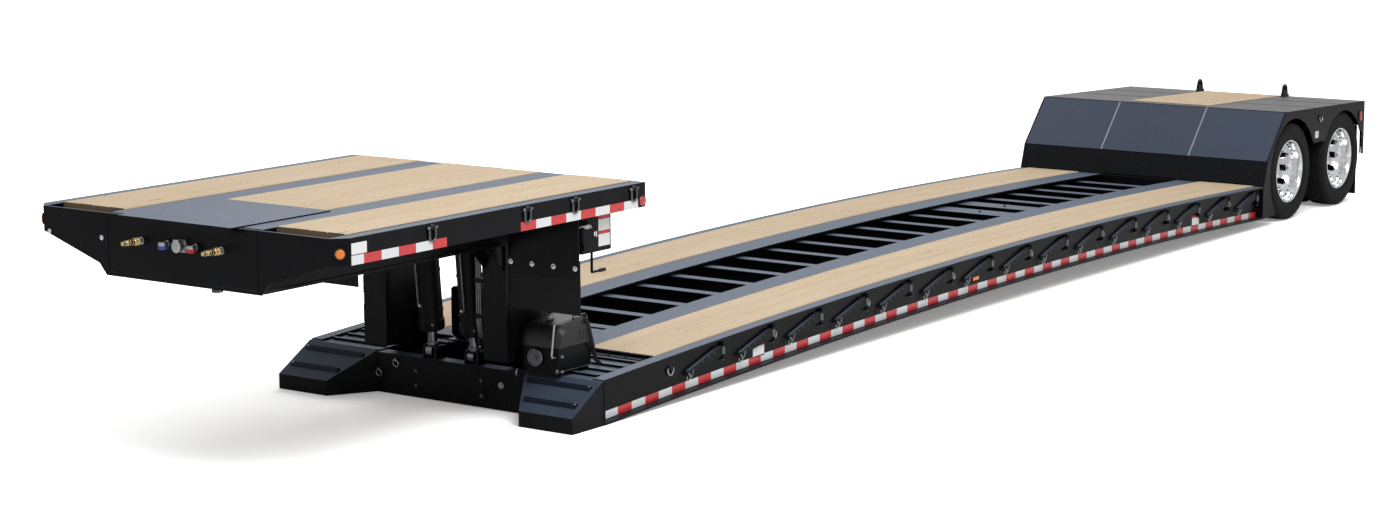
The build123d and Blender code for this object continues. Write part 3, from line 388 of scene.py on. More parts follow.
M = {
    "paint": paint(),
    # Chassis paint: the same painted reflection, fainter, on its slopes and tops.
    "dull": paint("chassis_paint", (0.0052, 0.0052, 0.0058), (0.014, 0.016, 0.022),
                  (0.050, 0.058, 0.074), 0.36),
    # A darker copy of the black paint: painted shade, laid only on the strip along the rails' lower flange.
    "shade": paint("painted_shade_black", (0.0040, 0.0042, 0.0050), (0.0065, 0.0075, 0.0105),
                   (0.0095, 0.0110, 0.0155)),
    # Fender decks: a grey top colour, partly dust and partly painted reflection.
    "fender": paint("fender_paint", top=(0.165, 0.160, 0.158)),
    # Bulkhead: a paler, bluer slope colour, painted reflection on its sloping faces.
    "wall": paint("bulkhead_paint", (0.0042, 0.0045, 0.0056), (0.066, 0.082, 0.122)),
    "oak": oak(),
    "rubber": rubber(),
    # Splash flaps: the lower part is a paler rubber than the upper part.
    "flap": rubber("flap_rubber", (0.0050, 0.0050, 0.0058), (0.0085, 0.0085, 0.0100), 0.55),
    "flap_low": rubber("flap_rubber_paler_lower", (0.0090, 0.0092, 0.0105), (0.0135, 0.0138, 0.0155), 0.60),
    "tyre": tyre_rubber(),
    "polish": metal("polished_aluminium", (0.86, 0.87, 0.89), 0.10, 0.92, (1, 1, 1), 320.0, 0.00004, 0.10),
    "chrome": metal("chrome", (0.74, 0.75, 0.77), 0.08, 0.85, (1, 1, 1), 260.0, 0.00003, 0.15),
    "rod": metal("rod_chrome", (0.20, 0.205, 0.215), 0.14, 0.8, (1, 1, 1), 240.0, 0.00004, 0.3),
    "steel": metal("bright_steel", (0.48, 0.49, 0.50), 0.30, 0.72),
    "forged": metal("forged_steel", (0.17, 0.17, 0.18), 0.38, 0.60, (1, 1, 1), 120.0, 0.0003, 0.35),
    "brass": metal("brass", (0.80, 0.60, 0.28), 0.20, 0.75),
    "white": tape("tape_white", (0.76, 0.78, 0.80), (0.55, 0.57, 0.60)),
    "red": tape("tape_red", (0.62, 0.016, 0.020), (0.34, 0.008, 0.010)),
    "label": plastic("label_white", (0.80, 0.80, 0.79), 0.40, 0.10),
    "label_red": plastic("label_red", (0.62, 0.03, 0.03), 0.40, 0.10),
    "amber": lens("amber_lens", (0.95, 0.26, 0.010), (0.55, 0.10, 0.004)),
    "red_lens": lens("red_lens", (0.55, 0.012, 0.012), (0.22, 0.004, 0.004)),
    "clear": lens("clear_lens", (0.72, 0.74, 0.76), (0.42, 0.44, 0.47)),
    "blue": plastic("blue_enamel", (0.030, 0.085, 0.36), 0.35),
    "red_cap": plastic("red_enamel", (0.50, 0.020, 0.025), 0.35),
    "grey_cast": metal("zinc_casting", (0.52, 0.53, 0.55), 0.36, 0.75),
    "seam": metal("ground_weld", (0.30, 0.32, 0.36), 0.45, 0.8, (1, 1, 1), 160.0, 0.0004, 0.2),
    "hood": plastic("hood_plastic", (0.0062, 0.0060, 0.0066), 0.42, 0.4),
    # Painted shade: a near-black finish that stands for the shaded insides of the hood's slots.
    "hole": plastic("painted_shade_in_slots", (0.004, 0.004, 0.004), 0.8, 0.1),
}


# ---------------------------------------------------------------- mesh building

class Piece:
    """One mesh in the row frame, built from closed shells, with a material on each face."""

    def __init__(self, name, *materials):
        self.name = name
        self.bm = bmesh.new()
        self.seed = self.bm.verts.layers.float.new("seed")
        self.names = list(materials)

    def slot(self, material):
        if material not in self.names:
            self.names.append(material)
        return self.names.index(material)

    def add(self, points, faces, material=None, seed=0.0):
        slot = self.slot(material or self.names[0])
        verts = []
        for x, y, z in points:
            vert = self.bm.verts.new((x, y, z))
            vert[self.seed] = seed
            verts.append(vert)
        for face in faces:
            made = self.bm.faces.new([verts[i] for i in face])
            made.material_index = slot
            made.smooth = True

    def prism(self, outline, place, low, high, material):
        n = len(outline)
        points = [place(u, v, w) for w in (low, high) for u, v in outline]
        faces = [list(range(n))[::-1], list(range(n, 2 * n))]
        faces += [[i, (i + 1) % n, n + (i + 1) % n, n + i] for i in range(n)]
        self.add(points, faces, material)

    def side(self, outline, y0, y1, material=None):
        self.prism(outline, lambda s, z, y: (FRONT - s, y, z), y0, y1, material)

    def end(self, outline, s0, s1, material=None):
        self.prism(outline, lambda y, z, s: (FRONT - s, y, z), s0, s1, material)

    def plan(self, outline, z0, z1, material=None):
        self.prism(outline, lambda s, y, z: (FRONT - s, y, z), z0, z1, material)

    def block(self, s0, s1, y0, y1, z0, z1, material=None):
        self.side([(s0, z0), (s1, z0), (s1, z1), (s0, z1)], y0, y1, material)

    def arch(self, s0, s1, drop_top, drop_bottom, y0, y1, material=None, steps=24, seed=0.0, chamfer=0.0):
        """A member that follows the camber, between two drops below the steel top."""
        c = chamfer
        if c:
            ring = [(y0, drop_bottom), (y1, drop_bottom), (y1, drop_top + c), (y1 - c, drop_top),
                    (y0 + c, drop_top), (y0, drop_top + c)]
        else:
            ring = [(y0, drop_bottom), (y1, drop_bottom), (y1, drop_top), (y0, drop_top)]
        self.loft([[(FRONT - s, y, deck_z(s) - d) for y, d in ring]
                   for s in (s0 + (s1 - s0) * i / steps for i in range(steps + 1))], material, seed)

    def loft(self, rings, material=None, seed=0.0, closed=False):
        """A skin through rings of points, capped at both ends."""
        n = len(rings[0])
        points = [p for ring in rings for p in ring]
        count = len(rings)
        faces = []
        for i in range(count if closed else count - 1):
            a = i * n
            b = ((i + 1) % count) * n
            faces += [[a + j, a + (j + 1) % n, b + (j + 1) % n, b + j] for j in range(n)]
        if not closed:
            faces += [list(range(n))[::-1], [(count - 1) * n + j for j in range(n)]]
        self.add(points, faces, material, seed)

    def lathe(self, origin, axis, profile, material=None, n=24, closed=False):
        """Turns (distance along the axis, radius) points about the axis; ends at radius 0 are points."""
        axis = Vector(axis).normalized()
        side = axis.orthogonal().normalized()
        other = axis.cross(side)
        origin = Vector(origin)
        points = []
        index = []
        for along, radius in profile:
            if radius < 1e-6:
                index.append([len(points)] * n)
                points.append(tuple(origin + axis * along))
            else:
                index.append(list(range(len(points), len(points) + n)))
                for t in angles(n):
                    points.append(tuple(origin + axis * along + (side * cos(t) + other * sin(t)) * radius))
        faces = []
        last = len(profile) if closed else len(profile) - 1
        for k in range(last):
            a = index[k]
            b = index[(k + 1) % len(profile)]
            for i in range(n):
                j = (i + 1) % n
                corner = [a[i], a[j], b[j], b[i]]
                face = [v for q, v in enumerate(corner) if v not in corner[:q]]
                if len(face) > 2:
                    faces.append(face)
        if not closed:
            for ring, (_, radius) in ((index[0], profile[0]), (index[-1], profile[-1])):
                if radius >= 1e-6:
                    faces.append(list(ring))
        self.add(points, faces, material)

    def rod(self, a, b, radius, material=None, n=12, chamfer=0.0):
        a = Vector(a)
        b = Vector(b)
        length = (b - a).length
        c = min(chamfer, radius * 0.5)
        profile = [(0, radius), (length, radius)]
        if c:
            profile = [(0, radius - c), (c, radius), (length - c, radius), (length, radius - c)]
        self.lathe(a, b - a, profile, material, n)

    def tube(self, points, radius, material=None, n=10, closed=False, flat=1.0):
        """A bar of round section along points, with no twist."""
        path = [Vector(p) for p in points]
        count = len(path)
        normal = None
        rings = []
        for i in range(count):
            before = path[i - 1] if (i or closed) else path[i]
            after = path[(i + 1) % count] if (i < count - 1 or closed) else path[i]
            along = (after - before).normalized()
            if normal is None:
                normal = along.orthogonal().normalized()
            normal = (normal - along * normal.dot(along)).normalized()
            other = along.cross(normal)
            rings.append([tuple(path[i] + normal * radius * cos(2 * pi * k / n)
                    + other * radius * flat * sin(2 * pi * k / n)) for k in range(n)])
        self.loft(rings, material, closed=closed)

    def hexagon(self, origin, axis, radius, height, material=None):
        self.lathe(origin, axis, [(0, radius), (height * 0.8, radius), (height, radius * 0.86), (height, 0)],
                   material, 6)

    def bolt(self, origin, axis, radius=0.011, material="steel"):
        """Washer, hexagon head and a short thread end."""
        axis = Vector(axis).normalized()
        self.lathe(origin, axis, [(0, radius * 1.75), (0.0025, radius * 1.75), (0.003, radius * 1.6),
                (0.003, 0)], material, 16)
        self.hexagon(Vector(origin) + axis * 0.003, axis, radius * 1.12, radius * 0.95, material)
        self.lathe(Vector(origin) + axis * (0.003 + radius * 0.9), axis,
                [(0, radius * 0.55), (radius * 0.6, radius * 0.55), (radius * 0.7, radius * 0.4),
                (radius * 0.7, 0)], material, 10)

    def weld(self, a, b, radius=0.005, material="paint", step=0.012):
        """A run of weld: small overlapping humps."""
        a = Vector(a)
        b = Vector(b)
        count = max(2, int((b - a).length / step))
        points = [a.lerp(b, i / (2 * count)) for i in range(2 * count + 1)]
        along = (b - a).normalized()
        normal = along.orthogonal().normalized()
        other = along.cross(normal)
        rings = []
        for i, p in enumerate(points):
            r = radius * (0.82 if i % 2 else 1.08) * (1 + 0.12 * sin(i * 1.7))
            rings.append([tuple(p + normal * r * cos(t) + other * r * sin(t))
                          for t in (0, 1.047, 2.094, 3.142, 4.189, 5.236)])
        self.loft(rings, material)

    def done(self, body, bevel=0.0, replaces=(), slot=None, smooth=35.0, segments=2):
        bm = self.bm
        bmesh.ops.recalc_face_normals(bm, faces=bm.faces[:])
        limit = radians(smooth)
        for edge in bm.edges:
            edge.smooth = len(edge.link_faces) == 2 and edge.calc_face_angle(0.0) < limit
        mesh = bpy.data.meshes.new(self.name)
        bm.to_mesh(mesh)
        bm.free()
        for name in self.names:
            mesh.materials.append(M[name])
        piece = bpy.data.objects.new(self.name, mesh)
        scene.collection.objects.link(piece)
        if bevel:
            cut = piece.modifiers.new("edges", "BEVEL")
            cut.width = bevel
            cut.segments = segments
            cut.limit_method = "ANGLE"
            cut.angle_limit = limit
            cut.harden_normals = False
            even = piece.modifiers.new("shading", "WEIGHTED_NORMAL")
            even.keep_sharp = False
        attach(piece, body)
        if replaces:
            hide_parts(*replaces)
        return piece


def at(s, y, z):
    return Vector((FRONT - s, y, z))


# ---------------------------------------------------------------- oak boards

PLANK_GAP = 0.003
PLANK_EDGE = 0.004


def plank_widths(y0, y1, count):
    width = (y1 - y0 + PLANK_GAP) / count
    return [(y0 + i * width, y0 + (i + 1) * width - PLANK_GAP) for i in range(count)]


def screw_heads(piece, s, y0, y1, top):
    """Two dark countersunk heads across a plank."""
    for y in (y0 + (y1 - y0) * 0.27, y0 + (y1 - y0) * 0.73):
        origin = at(s + rng.uniform(-0.006, 0.006), y + rng.uniform(-0.004, 0.004), top - 0.004)
        piece.lathe(origin, UP, [(0, 0.0085), (0.0042, 0.0085), (0.0046, 0.0075), (0.0036, 0.0045),
                (0.0036, 0)], "forged", 8)


def track_planks():
    """Three cambered planks on each side of the well, screwed to the crossmembers."""
    piece = Piece("oak_tracks", "oak")
    for side in SIDES:
        for y0, y1 in plank_widths(TRACK_INNER, TRACK_OUTER, 3):
            low, high = across(side, y0, y1)
            drop = -BOARD_PROUD + rng.uniform(0.0, 0.0016)
            start = TRACK_FRONT + rng.uniform(0, 0.003)
            piece.arch(start, WELL_END - 0.004 - rng.uniform(0, 0.006), drop, 0.036, low, high, "oak",
                       40, rng.uniform(0, 40), PLANK_EDGE)
            for i in range(CROSS_COUNT):
                s = CROSS_FIRST + i * CROSS_PITCH
                screw_heads(piece, s, low, high, deck_z(s) - drop)
    return piece


def flat_planks(piece, s0, s1, y0, y1, count, top, thick, screws):
    """Straight planks; top(s) is their height."""
    for a, b in plank_widths(y0, y1, count):
        sunk = rng.uniform(0, 0.0016)
        rings = []
        for k in range(9):
            s = s0 + (s1 - s0) * k / 8
            z = top(s) - sunk
            rings.append([(FRONT - s, a, z - thick), (FRONT - s, b, z - thick),
                    (FRONT - s, b, z - PLANK_EDGE), (FRONT - s, b - PLANK_EDGE, z),
                    (FRONT - s, a + PLANK_EDGE, z), (FRONT - s, a, z - PLANK_EDGE)])
        piece.loft(rings, "oak", rng.uniform(0, 40))
        for s in screws:
            if s0 + 0.03 < s < s1 - 0.03:
                screw_heads(piece, s, a, b, top(s) - sunk)


def deck_planks():
    piece = track_planks()
    flat_planks(piece, 13.250, LENGTH - 0.046, -0.420, 0.420, 5, lambda s: rear_z(s) + 0.006, 0.050,
                (13.30, 13.63, 13.93, 14.23, 14.60, 14.90))
    return piece.done("deck", 0, ("deck_boards",), "oak", 25)


def neck_planks():
    piece = Piece("oak_neck", "oak")
    top = NECK_TOP + BOARD_PROUD - 0.0008
    rear = NECK_END - 0.015
    for side in SIDES:
        low, high = sorted((side * 0.647, side * (HALF - NECK_RIM - 0.003)))
        flat_planks(piece, NECK_RIM_FRONT + 0.003, rear, low, high, 4, lambda s: top, 0.050, NECK_BEND_S)
    flat_planks(piece, 0.804, rear, -0.413, 0.413, 5, lambda s: top, 0.050, NECK_BEND_S)
    return piece.done("gooseneck", 0, ("neck_boards",), "oak", 25)


deck_planks()
neck_planks()


# ---------------------------------------------------------------- tape, labels and side lamps

def tape_run(piece, start, count, red, y, low, high, body_end):
    """Red and white blocks in a row on a side face; low(s) and high(s) are their edges."""
    s = start
    for _ in range(count):
        end = min(s + BLOCK, body_end)
        for side in SIDES:
            y0, y1 = across(side, y, y + SHEET)
            outline = [(s + 0.0006, low(s)), (end - 0.0006, low(end)), (end - 0.0006, high(end)),
                    (s + 0.0006, high(s))]
            piece.side(outline, y0, y1, "red" if red else "white")
        red = not red
        s = end


def well_tape():
    piece = Piece("tape_well", "white", "red")
    web = HALF - RAIL_RECESS
    foot = BEAM_DEPTH - FLANGE_T - 0.004
    tape_run(piece, 2.550, 66, False, web, lambda s: deck_z(s) - foot, lambda s: deck_z(s) - foot + 0.052,
             WELL_END - 0.03)
    piece.done("deck")


def neck_tape():
    piece = Piece("tape_neck", "white", "red")
    low = NECK_LOW + 0.001
    high = low + 0.057
    tape_run(piece, 0.092, 1, False, HALF, lambda s: low, lambda s: high, 0.200)
    tape_run(piece, 0.200, 5, True, HALF, lambda s: low, lambda s: high, 0.940)
    tape_run(piece, 1.645, 9, True, HALF, lambda s: low, lambda s: high, NECK_END - 0.075)
    for y0, y1 in ((HALF, HALF + SHEET), (-HALF - SHEET, -HALF)):
        piece.block(0.094, 0.226, y0, y1, high + 0.005, high + 0.072, "label")
    piece.done("gooseneck")


def blank_label(piece, s0, s1, y, z0, z1, header=0.22):
    """A blank white label with a red header, on a side face at +y or -y."""
    far = y + copysign(SHEET, y)
    low, high = sorted((y, far))
    band = z1 - (z1 - z0) * header
    piece.block(s0, s1, low, high, z0, band, "label")
    piece.block(s0, s1, low, high, band + 0.0004, z1, "label_red")


def well_labels():
    piece = Piece("labels_well", "label", "label_red")
    web = HALF - RAIL_RECESS
    for side in SIDES:
        for s in (4.350, 11.330):
            z = deck_z(s) - BEAM_DEPTH + FLANGE_T + 0.048
            blank_label(piece, s - 0.070, s + 0.070, side * web, z, z + 0.096)
        far = side * (HALF + SHEET)
        low, high = sorted((side * HALF, far))
        piece.block(13.800, 13.880, low, high, 0.735, 0.775, "label")
        piece.block(13.800, 13.880, low, high, 0.778, 0.800, "label")
    piece.done("deck")


well_tape()
neck_tape()
well_labels()


def round_lamp(piece, origin, axis, radius, lens_name):
    """Rubber grommet, domed ribbed lens."""
    piece.lathe(origin, axis, [(0, radius * 1.22), (0.006, radius * 1.24), (0.011, radius * 1.14),
            (0.012, radius * 1.02), (0.006, radius)], "rubber", 28)
    profile = [(0.006, radius), (0.011, radius * 0.97), (0.014, radius * 0.88), (0.0165, radius * 0.62),
               (0.0175, radius * 0.34), (0.018, 0)]
    piece.lathe(origin, axis, profile, lens_name, 28)
    for k in range(3):
        piece.lathe(origin, axis, [(0.0140 + 0.0011 * k, radius * (0.84 - 0.24 * k)),
                (0.0162 + 0.0008 * k, radius * (0.80 - 0.24 * k)),
                (0.0140 + 0.0011 * k, radius * (0.76 - 0.24 * k))], lens_name, 28, closed=True)


def box_lamp(piece, s, y, z, lens_name, width=0.105, height=0.042):
    """A small oblong marker lamp on a side face."""
    sign = copysign(1, y)
    low, high = sorted((y, y + sign * 0.007))
    piece.block(s - width / 2, s + width / 2, low, high, z - height / 2, z + height / 2, "rubber")
    w = width / 2 - 0.007
    h = height / 2 - 0.006
    rings = []
    for out, k in ((0.006, 1.0), (0.012, 1.0), (0.016, 0.86), (0.018, 0.55)):
        rings.append([(FRONT - (s + u * w * k), y + sign * out, z + v * h * k)
                      for u, v in ((-1, -1), (1, -1), (1, 1), (-1, 1))])
    piece.loft(rings, lens_name)
    for k in (-0.5, 0.0, 0.5):
        piece.block(s + k * w - 0.002, s + k * w + 0.002, *sorted((y + sign * 0.012, y + sign * 0.0172)),
                    z - h * 0.8, z + h * 0.8, lens_name)


def deck_lamps():
    piece = Piece("lamps_deck", "amber", "red_lens", "rubber")
    web = HALF - RAIL_RECESS
    middle = 7.380
    for side in SIDES:
        box_lamp(piece, middle, side * web, deck_z(middle) - 0.187, "amber")
        box_lamp(piece, 14.885, side * HALF, 0.850, "red_lens", 0.060, 0.100)
    back = FRONT - LENGTH + 0.030
    tail_z = 0.855
    for side in SIDES:
        for k in range(3):
            round_lamp(piece, (back, side * (1.150 - 0.135 * k), tail_z), BACK, 0.047, "red_lens")
    for k in (-1, 0, 1):
        round_lamp(piece, (back, 0.16 * k, tail_z + 0.045), BACK, 0.026, "red_lens")
    piece.done("deck", 0.0012)


def neck_lamps():
    piece = Piece("lamps_neck", "amber", "red_lens", "rubber", "chrome")
    corner = HALF - CHAMFER / 2
    for side in SIDES:
        axis = Vector((1, side, 0)).normalized()
        origin = at(CHAMFER / 2 + 0.005, side * (corner - 0.005), 1.463)
        round_lamp(piece, origin + axis * 0.0072, axis, 0.029, "amber")
        round_lamp(piece, at(NECK_END - 0.045, side * HALF, 1.434), (0, side, 0), 0.0335, "red_lens")
    for y in (-1.160, -0.690):
        piece.lathe(at(0, y, 1.396), AHEAD, [(0, 0.0165), (0.003, 0.0165), (0.006, 0.013), (0.0075, 0.007),
                (0.008, 0)], "chrome", 22)
    piece.done("gooseneck", 0.0008)


deck_lamps()
neck_lamps()


# ---------------------------------------------------------------- tie-down rings and swing-out brackets

RING_R = 0.034
RING_BAR = 0.008


def ring_clip(piece, s, z, side, face, half, steps):
    """The bent strap that holds a ring to the wall, with a weld above and below."""
    arc = [pi * k / steps for k in range(steps + 1)]
    piece.end([(side * (face + 0.001 + 0.0185 * sin(t)), z + 0.0165 * cos(t)) for t in arc], s - half,
            s + half, "paint")
    for k in (-1, 1):
        ends = [at(s + out * (half + 0.002), side * (face + 0.003), z + k * 0.0165) for out in (-1, 1)]
        piece.weld(*ends, 0.0036, "paint", 0.006)


def d_ring(piece, s, z, side, face, swing=0.0):
    """A forged D-ring on its welded clip; face is how far out the wall is."""
    y = face + RING_BAR + 0.001
    points = []
    for i in range(15):
        t = pi * i / 14
        drop = 1.35 * RING_R * sin(t)
        points.append(at(s - RING_R * cos(t), side * (y + drop * sin(swing)), z - drop * cos(swing)))
    points += [at(s + RING_R * (1 - k / 3), side * y, z) for k in range(1, 6)]
    piece.tube(points, RING_BAR * 0.74, "steel", 10, closed=True)
    ring_clip(piece, s, z, side, face, 0.017, 8)


def deck_rings():
    piece = Piece("d_rings_deck", "steel", "paint")
    for side in SIDES:
        for i in range(RING_COUNT):
            s = RING_FIRST + i * 2 * BRACKET_PITCH
            d_ring(piece, s, deck_z(s) - 0.105, side, HALF - RAIL_RECESS, 0.05)
        d_ring(piece, (AXLES[0] + AXLES[1]) / 2 + 0.015, 0.935, side, HALF)
    piece.done("deck", 0, ("tie_rings_deck",), "bright_steel")


def long_ring(piece, s, z, side):
    """An oblong forged ring that hangs from its clip over the tape."""
    r, drop, y = 0.028, 0.054, side * (HALF + RING_BAR + 0.001)
    points = [at(s - r, y, z)]
    points += [at(s - r, y, z - drop * k / 3) for k in (1, 2)]
    points += [at(s - r * cos(t), y, z - drop - r * sin(t)) for t in (pi * k / 12 for k in range(13))]
    points += [at(s + r, y, z - drop * k / 3) for k in (2, 1, 0)]
    piece.tube(points, RING_BAR * 0.90, "forged", 12)
    piece.rod(at(s - r - 0.011, y, z), at(s + r + 0.011, y, z), RING_BAR * 0.98, "forged", 16, 0.002)
    for k in (-1, 1):
        piece.hexagon(at(s + k * (r + 0.008), y, z), (-k, 0, 0), 0.0090, 0.009, "steel")
    ring_clip(piece, s, z, side, HALF, 0.015, 10)


def neck_rings():
    piece = Piece("d_rings_neck", "forged", "paint", "steel")
    for side in SIDES:
        for s in (0.800, 1.706, 2.190, 2.812):
            long_ring(piece, s, NECK_TOP - 0.028, side)
    piece.done("gooseneck", 0, ("tie_rings_neck",), "bright_steel")


def swing_bracket(piece, s, side):
    """A folded swing-out bracket: bar arm with holes, hinge knuckles, pull pin with its ring and keeper."""
    face = HALF - RAIL_RECESS
    base = deck_z(s) - 0.190

    def y(out):
        return side * (face + out)

    low, high = sorted((y(0.010), y(0.022)))
    arm = [(s, base), (s, base + 0.026), (s + 0.375, base + 0.138), (s + 0.415, base + 0.140),
            (s + 0.415, base + 0.066)]
    piece.side(arm, low, high, "paint")
    low, high = sorted((y(0.004), y(0.030)))
    piece.side([(s + 0.010, base + 0.023), (s + 0.012, base + 0.032), (s + 0.372, base + 0.144),
                (s + 0.372, base + 0.134)], low, high, "paint")
    for k in range(5):
        t = 0.12 + 0.17 * k
        u = s + 0.375 * t
        piece.lathe(at(u + 0.02, y(0.0212), base + 0.016 + 0.112 * t), (0, side, 0),
                [(0, 0.0075), (0.0022, 0.0075), (0.0022, 0.0045), (0.0008, 0.0045), (0.0008, 0)], "forged",
                10)
    pin = s + 0.430
    top = deck_z(pin) - 0.100
    for k, (a, b) in enumerate(((-0.064, -0.030), (-0.028, 0.026), (0.028, 0.064))):
        piece.lathe(at(pin, y(0.018), top + a), UP,
                [(0, 0.0155), (0.0015, 0.0170), (b - a - 0.0015, 0.0170), (b - a, 0.0155)],
                "forged" if k == 1 else "paint", 16)
    piece.rod(at(pin, y(0.018), top - 0.074), at(pin, y(0.018), top + 0.070), 0.0085, "forged", 10, 0.002)
    catch = s + 0.006
    piece.rod(at(catch, y(0.002), base + 0.014), at(catch, y(0.036), base + 0.014), 0.0075, "forged", 10,
            0.002)
    points = []
    for i in range(13):
        t = -0.6 + (2 * pi - 0.6) * i / 12
        points.append(at(catch + 0.021 * sin(t), y(0.033 + 0.004 * cos(t)), base - 0.012 + 0.024 * cos(t)))
    piece.tube(points, 0.0032, "steel", 6)
    chain = []
    for i in range(9):
        t = i / 8
        chain.append(at(catch + 0.014 + 0.062 * t, y(0.024), base + 0.010 + 0.030 * t - 0.042 * sin(pi * t)))
    for a, b in zip(chain, chain[1:]):
        middle = (a + b) / 2
        along = (b - a) * 0.5
        wide = Vector((0, 0.003 * side, 0.004)) if chain.index(a) % 2 else Vector((0.003, 0, 0.004))
        loop = [middle + along * 1.25, middle + wide, middle - along * 1.25, middle - wide]
        piece.tube(loop, 0.0013, "steel", 5, closed=True)


def brackets():
    piece = Piece("swing_out_brackets", "paint", "forged", "steel")
    for i in range(BRACKET_COUNT):
        for side in SIDES:
            swing_bracket(piece, BRACKET_FIRST + i * BRACKET_PITCH, side)
    piece.done("deck", 0, ("swing_brackets",), "frame_paint")


deck_rings()
neck_rings()
brackets()


# ---------------------------------------------------------------- tyres and wheels

def tyre_mesh(piece, s, y, n=120):
    """A road tyre: four grooves, sipes at the shoulders, ribbed walls."""
    centre = at(s, y, TYRE_R)
    grooves = (-0.066, -0.022, 0.022, 0.066)
    crown = []
    edge = 0.104
    steps = [-edge]
    for g in grooves:
        steps += [g - 0.0065, g - 0.0045, g + 0.0045, g + 0.0065]
    steps.append(edge)
    for u in steps:
        deep = any(abs(abs(u - g) - 0.0045) < 1e-6 for g in grooves)
        drop = 0.006 * (u / edge) ** 2
        crown.append((u, TYRE_R - drop - (0.013 if deep else 0.0)))
    right = [(edge + 0.009, 0.450), (edge + 0.015, 0.436), (edge + 0.018, 0.424), (edge + 0.0205, 0.421),
            (edge + 0.0215, 0.405), (0.1255, 0.392), (0.1272, 0.389), (0.1272, 0.386), (0.1262, 0.383),
            (0.1268, 0.365), (0.1262, 0.350), (0.1272, 0.347), (0.1268, 0.343), (0.1236, 0.332),
            (0.1190, 0.321), (0.1185, 0.317), (0.1150, 0.312), (0.1120, 0.303), (0.1005, 0.2995),
            (0.0950, 0.290)]
    profile = crown + right + [(0.060, 0.288), (-0.060, 0.288)] + [(-a, r) for a, r in reversed(right)]
    count = len(profile)
    sipes = (0, len(crown) - 1, len(crown), count - 1)
    points = []
    for i, t in enumerate(angles(n)):
        for k, (along, radius) in enumerate(profile):
            if k in sipes and i % 3 == 0:
                radius -= 0.009
                along *= 0.985
            points.append((centre.x + radius * sin(t), centre.y + along, centre.z + radius * cos(t)))
    faces = []
    for i in range(n):
        a = i * count
        b = ((i + 1) % n) * count
        faces += [[a + k, a + (k + 1) % count, b + (k + 1) % count, b + k] for k in range(count)]
    piece.add(points, faces, "tyre")


def tyres(end, s):
    for name, side in NAMED_SIDES:
        piece = Piece(f"tyre_pair_{end}_{name}", "tyre")
        for k in (-0.5, 0.5):
            tyre_mesh(piece, s, side * (DUAL_Y + k * DUAL_SPACING))
        piece.done(f"wheels_{end}_{name}", 0, (f"tyres_{end}_{name}",), "tyre", 28)


HAND_HOLES = 10
HOLE_RING = 0.2150
HOLE_R = 0.0265


def disc_with_holes(piece, centre, out, y_at, r0, r1, thick, material, n=120):
    """A dished wheel disc between two radii: a polar grid whose rows bend round each hand hole."""
    rows = 15
    side_y = copysign(1.0, out)
    per = n // HAND_HOLES
    for layer in (0, 1):
        points = []
        for i, t in enumerate(angles(n)):
            within = ((i % per) - per / 2) / (per / 2)
            for k in range(rows):
                f = k / (rows - 1)
                r = r0 + (r1 - r0) * f
                turn = t
                arc = within * pi / HAND_HOLES * HOLE_RING
                off = r - HOLE_RING
                reach = hypot(arc, off)
                if reach < HOLE_R * 2.0 and reach > 1e-6:
                    far = HOLE_R * 2.0
                    grown = HOLE_R + (far - HOLE_R) * reach / far
                    arc2 = arc * grown / reach
                    off2 = off * grown / reach
                    turn = t + (arc2 - arc) / HOLE_RING
                    r = HOLE_RING + off2
                y = centre.y + side_y * (y_at(r) - layer * thick)
                points.append((centre.x + r * sin(turn), y, centre.z + r * cos(turn)))
        faces = []
        for i in range(n):
            j = (i + 1) % n
            for k in range(rows - 1):
                mid_arc = (((i + 0.5) % per) - per / 2) / (per / 2) * pi / HAND_HOLES * HOLE_RING
                mid_off = r0 + (r1 - r0) * (k + 0.5) / (rows - 1) - HOLE_RING
                if hypot(mid_arc, mid_off) < HOLE_R * 0.30:
                    continue
                faces.append([i * rows + k, i * rows + k + 1, j * rows + k + 1, j * rows + k])
        piece.add(points, faces, material)


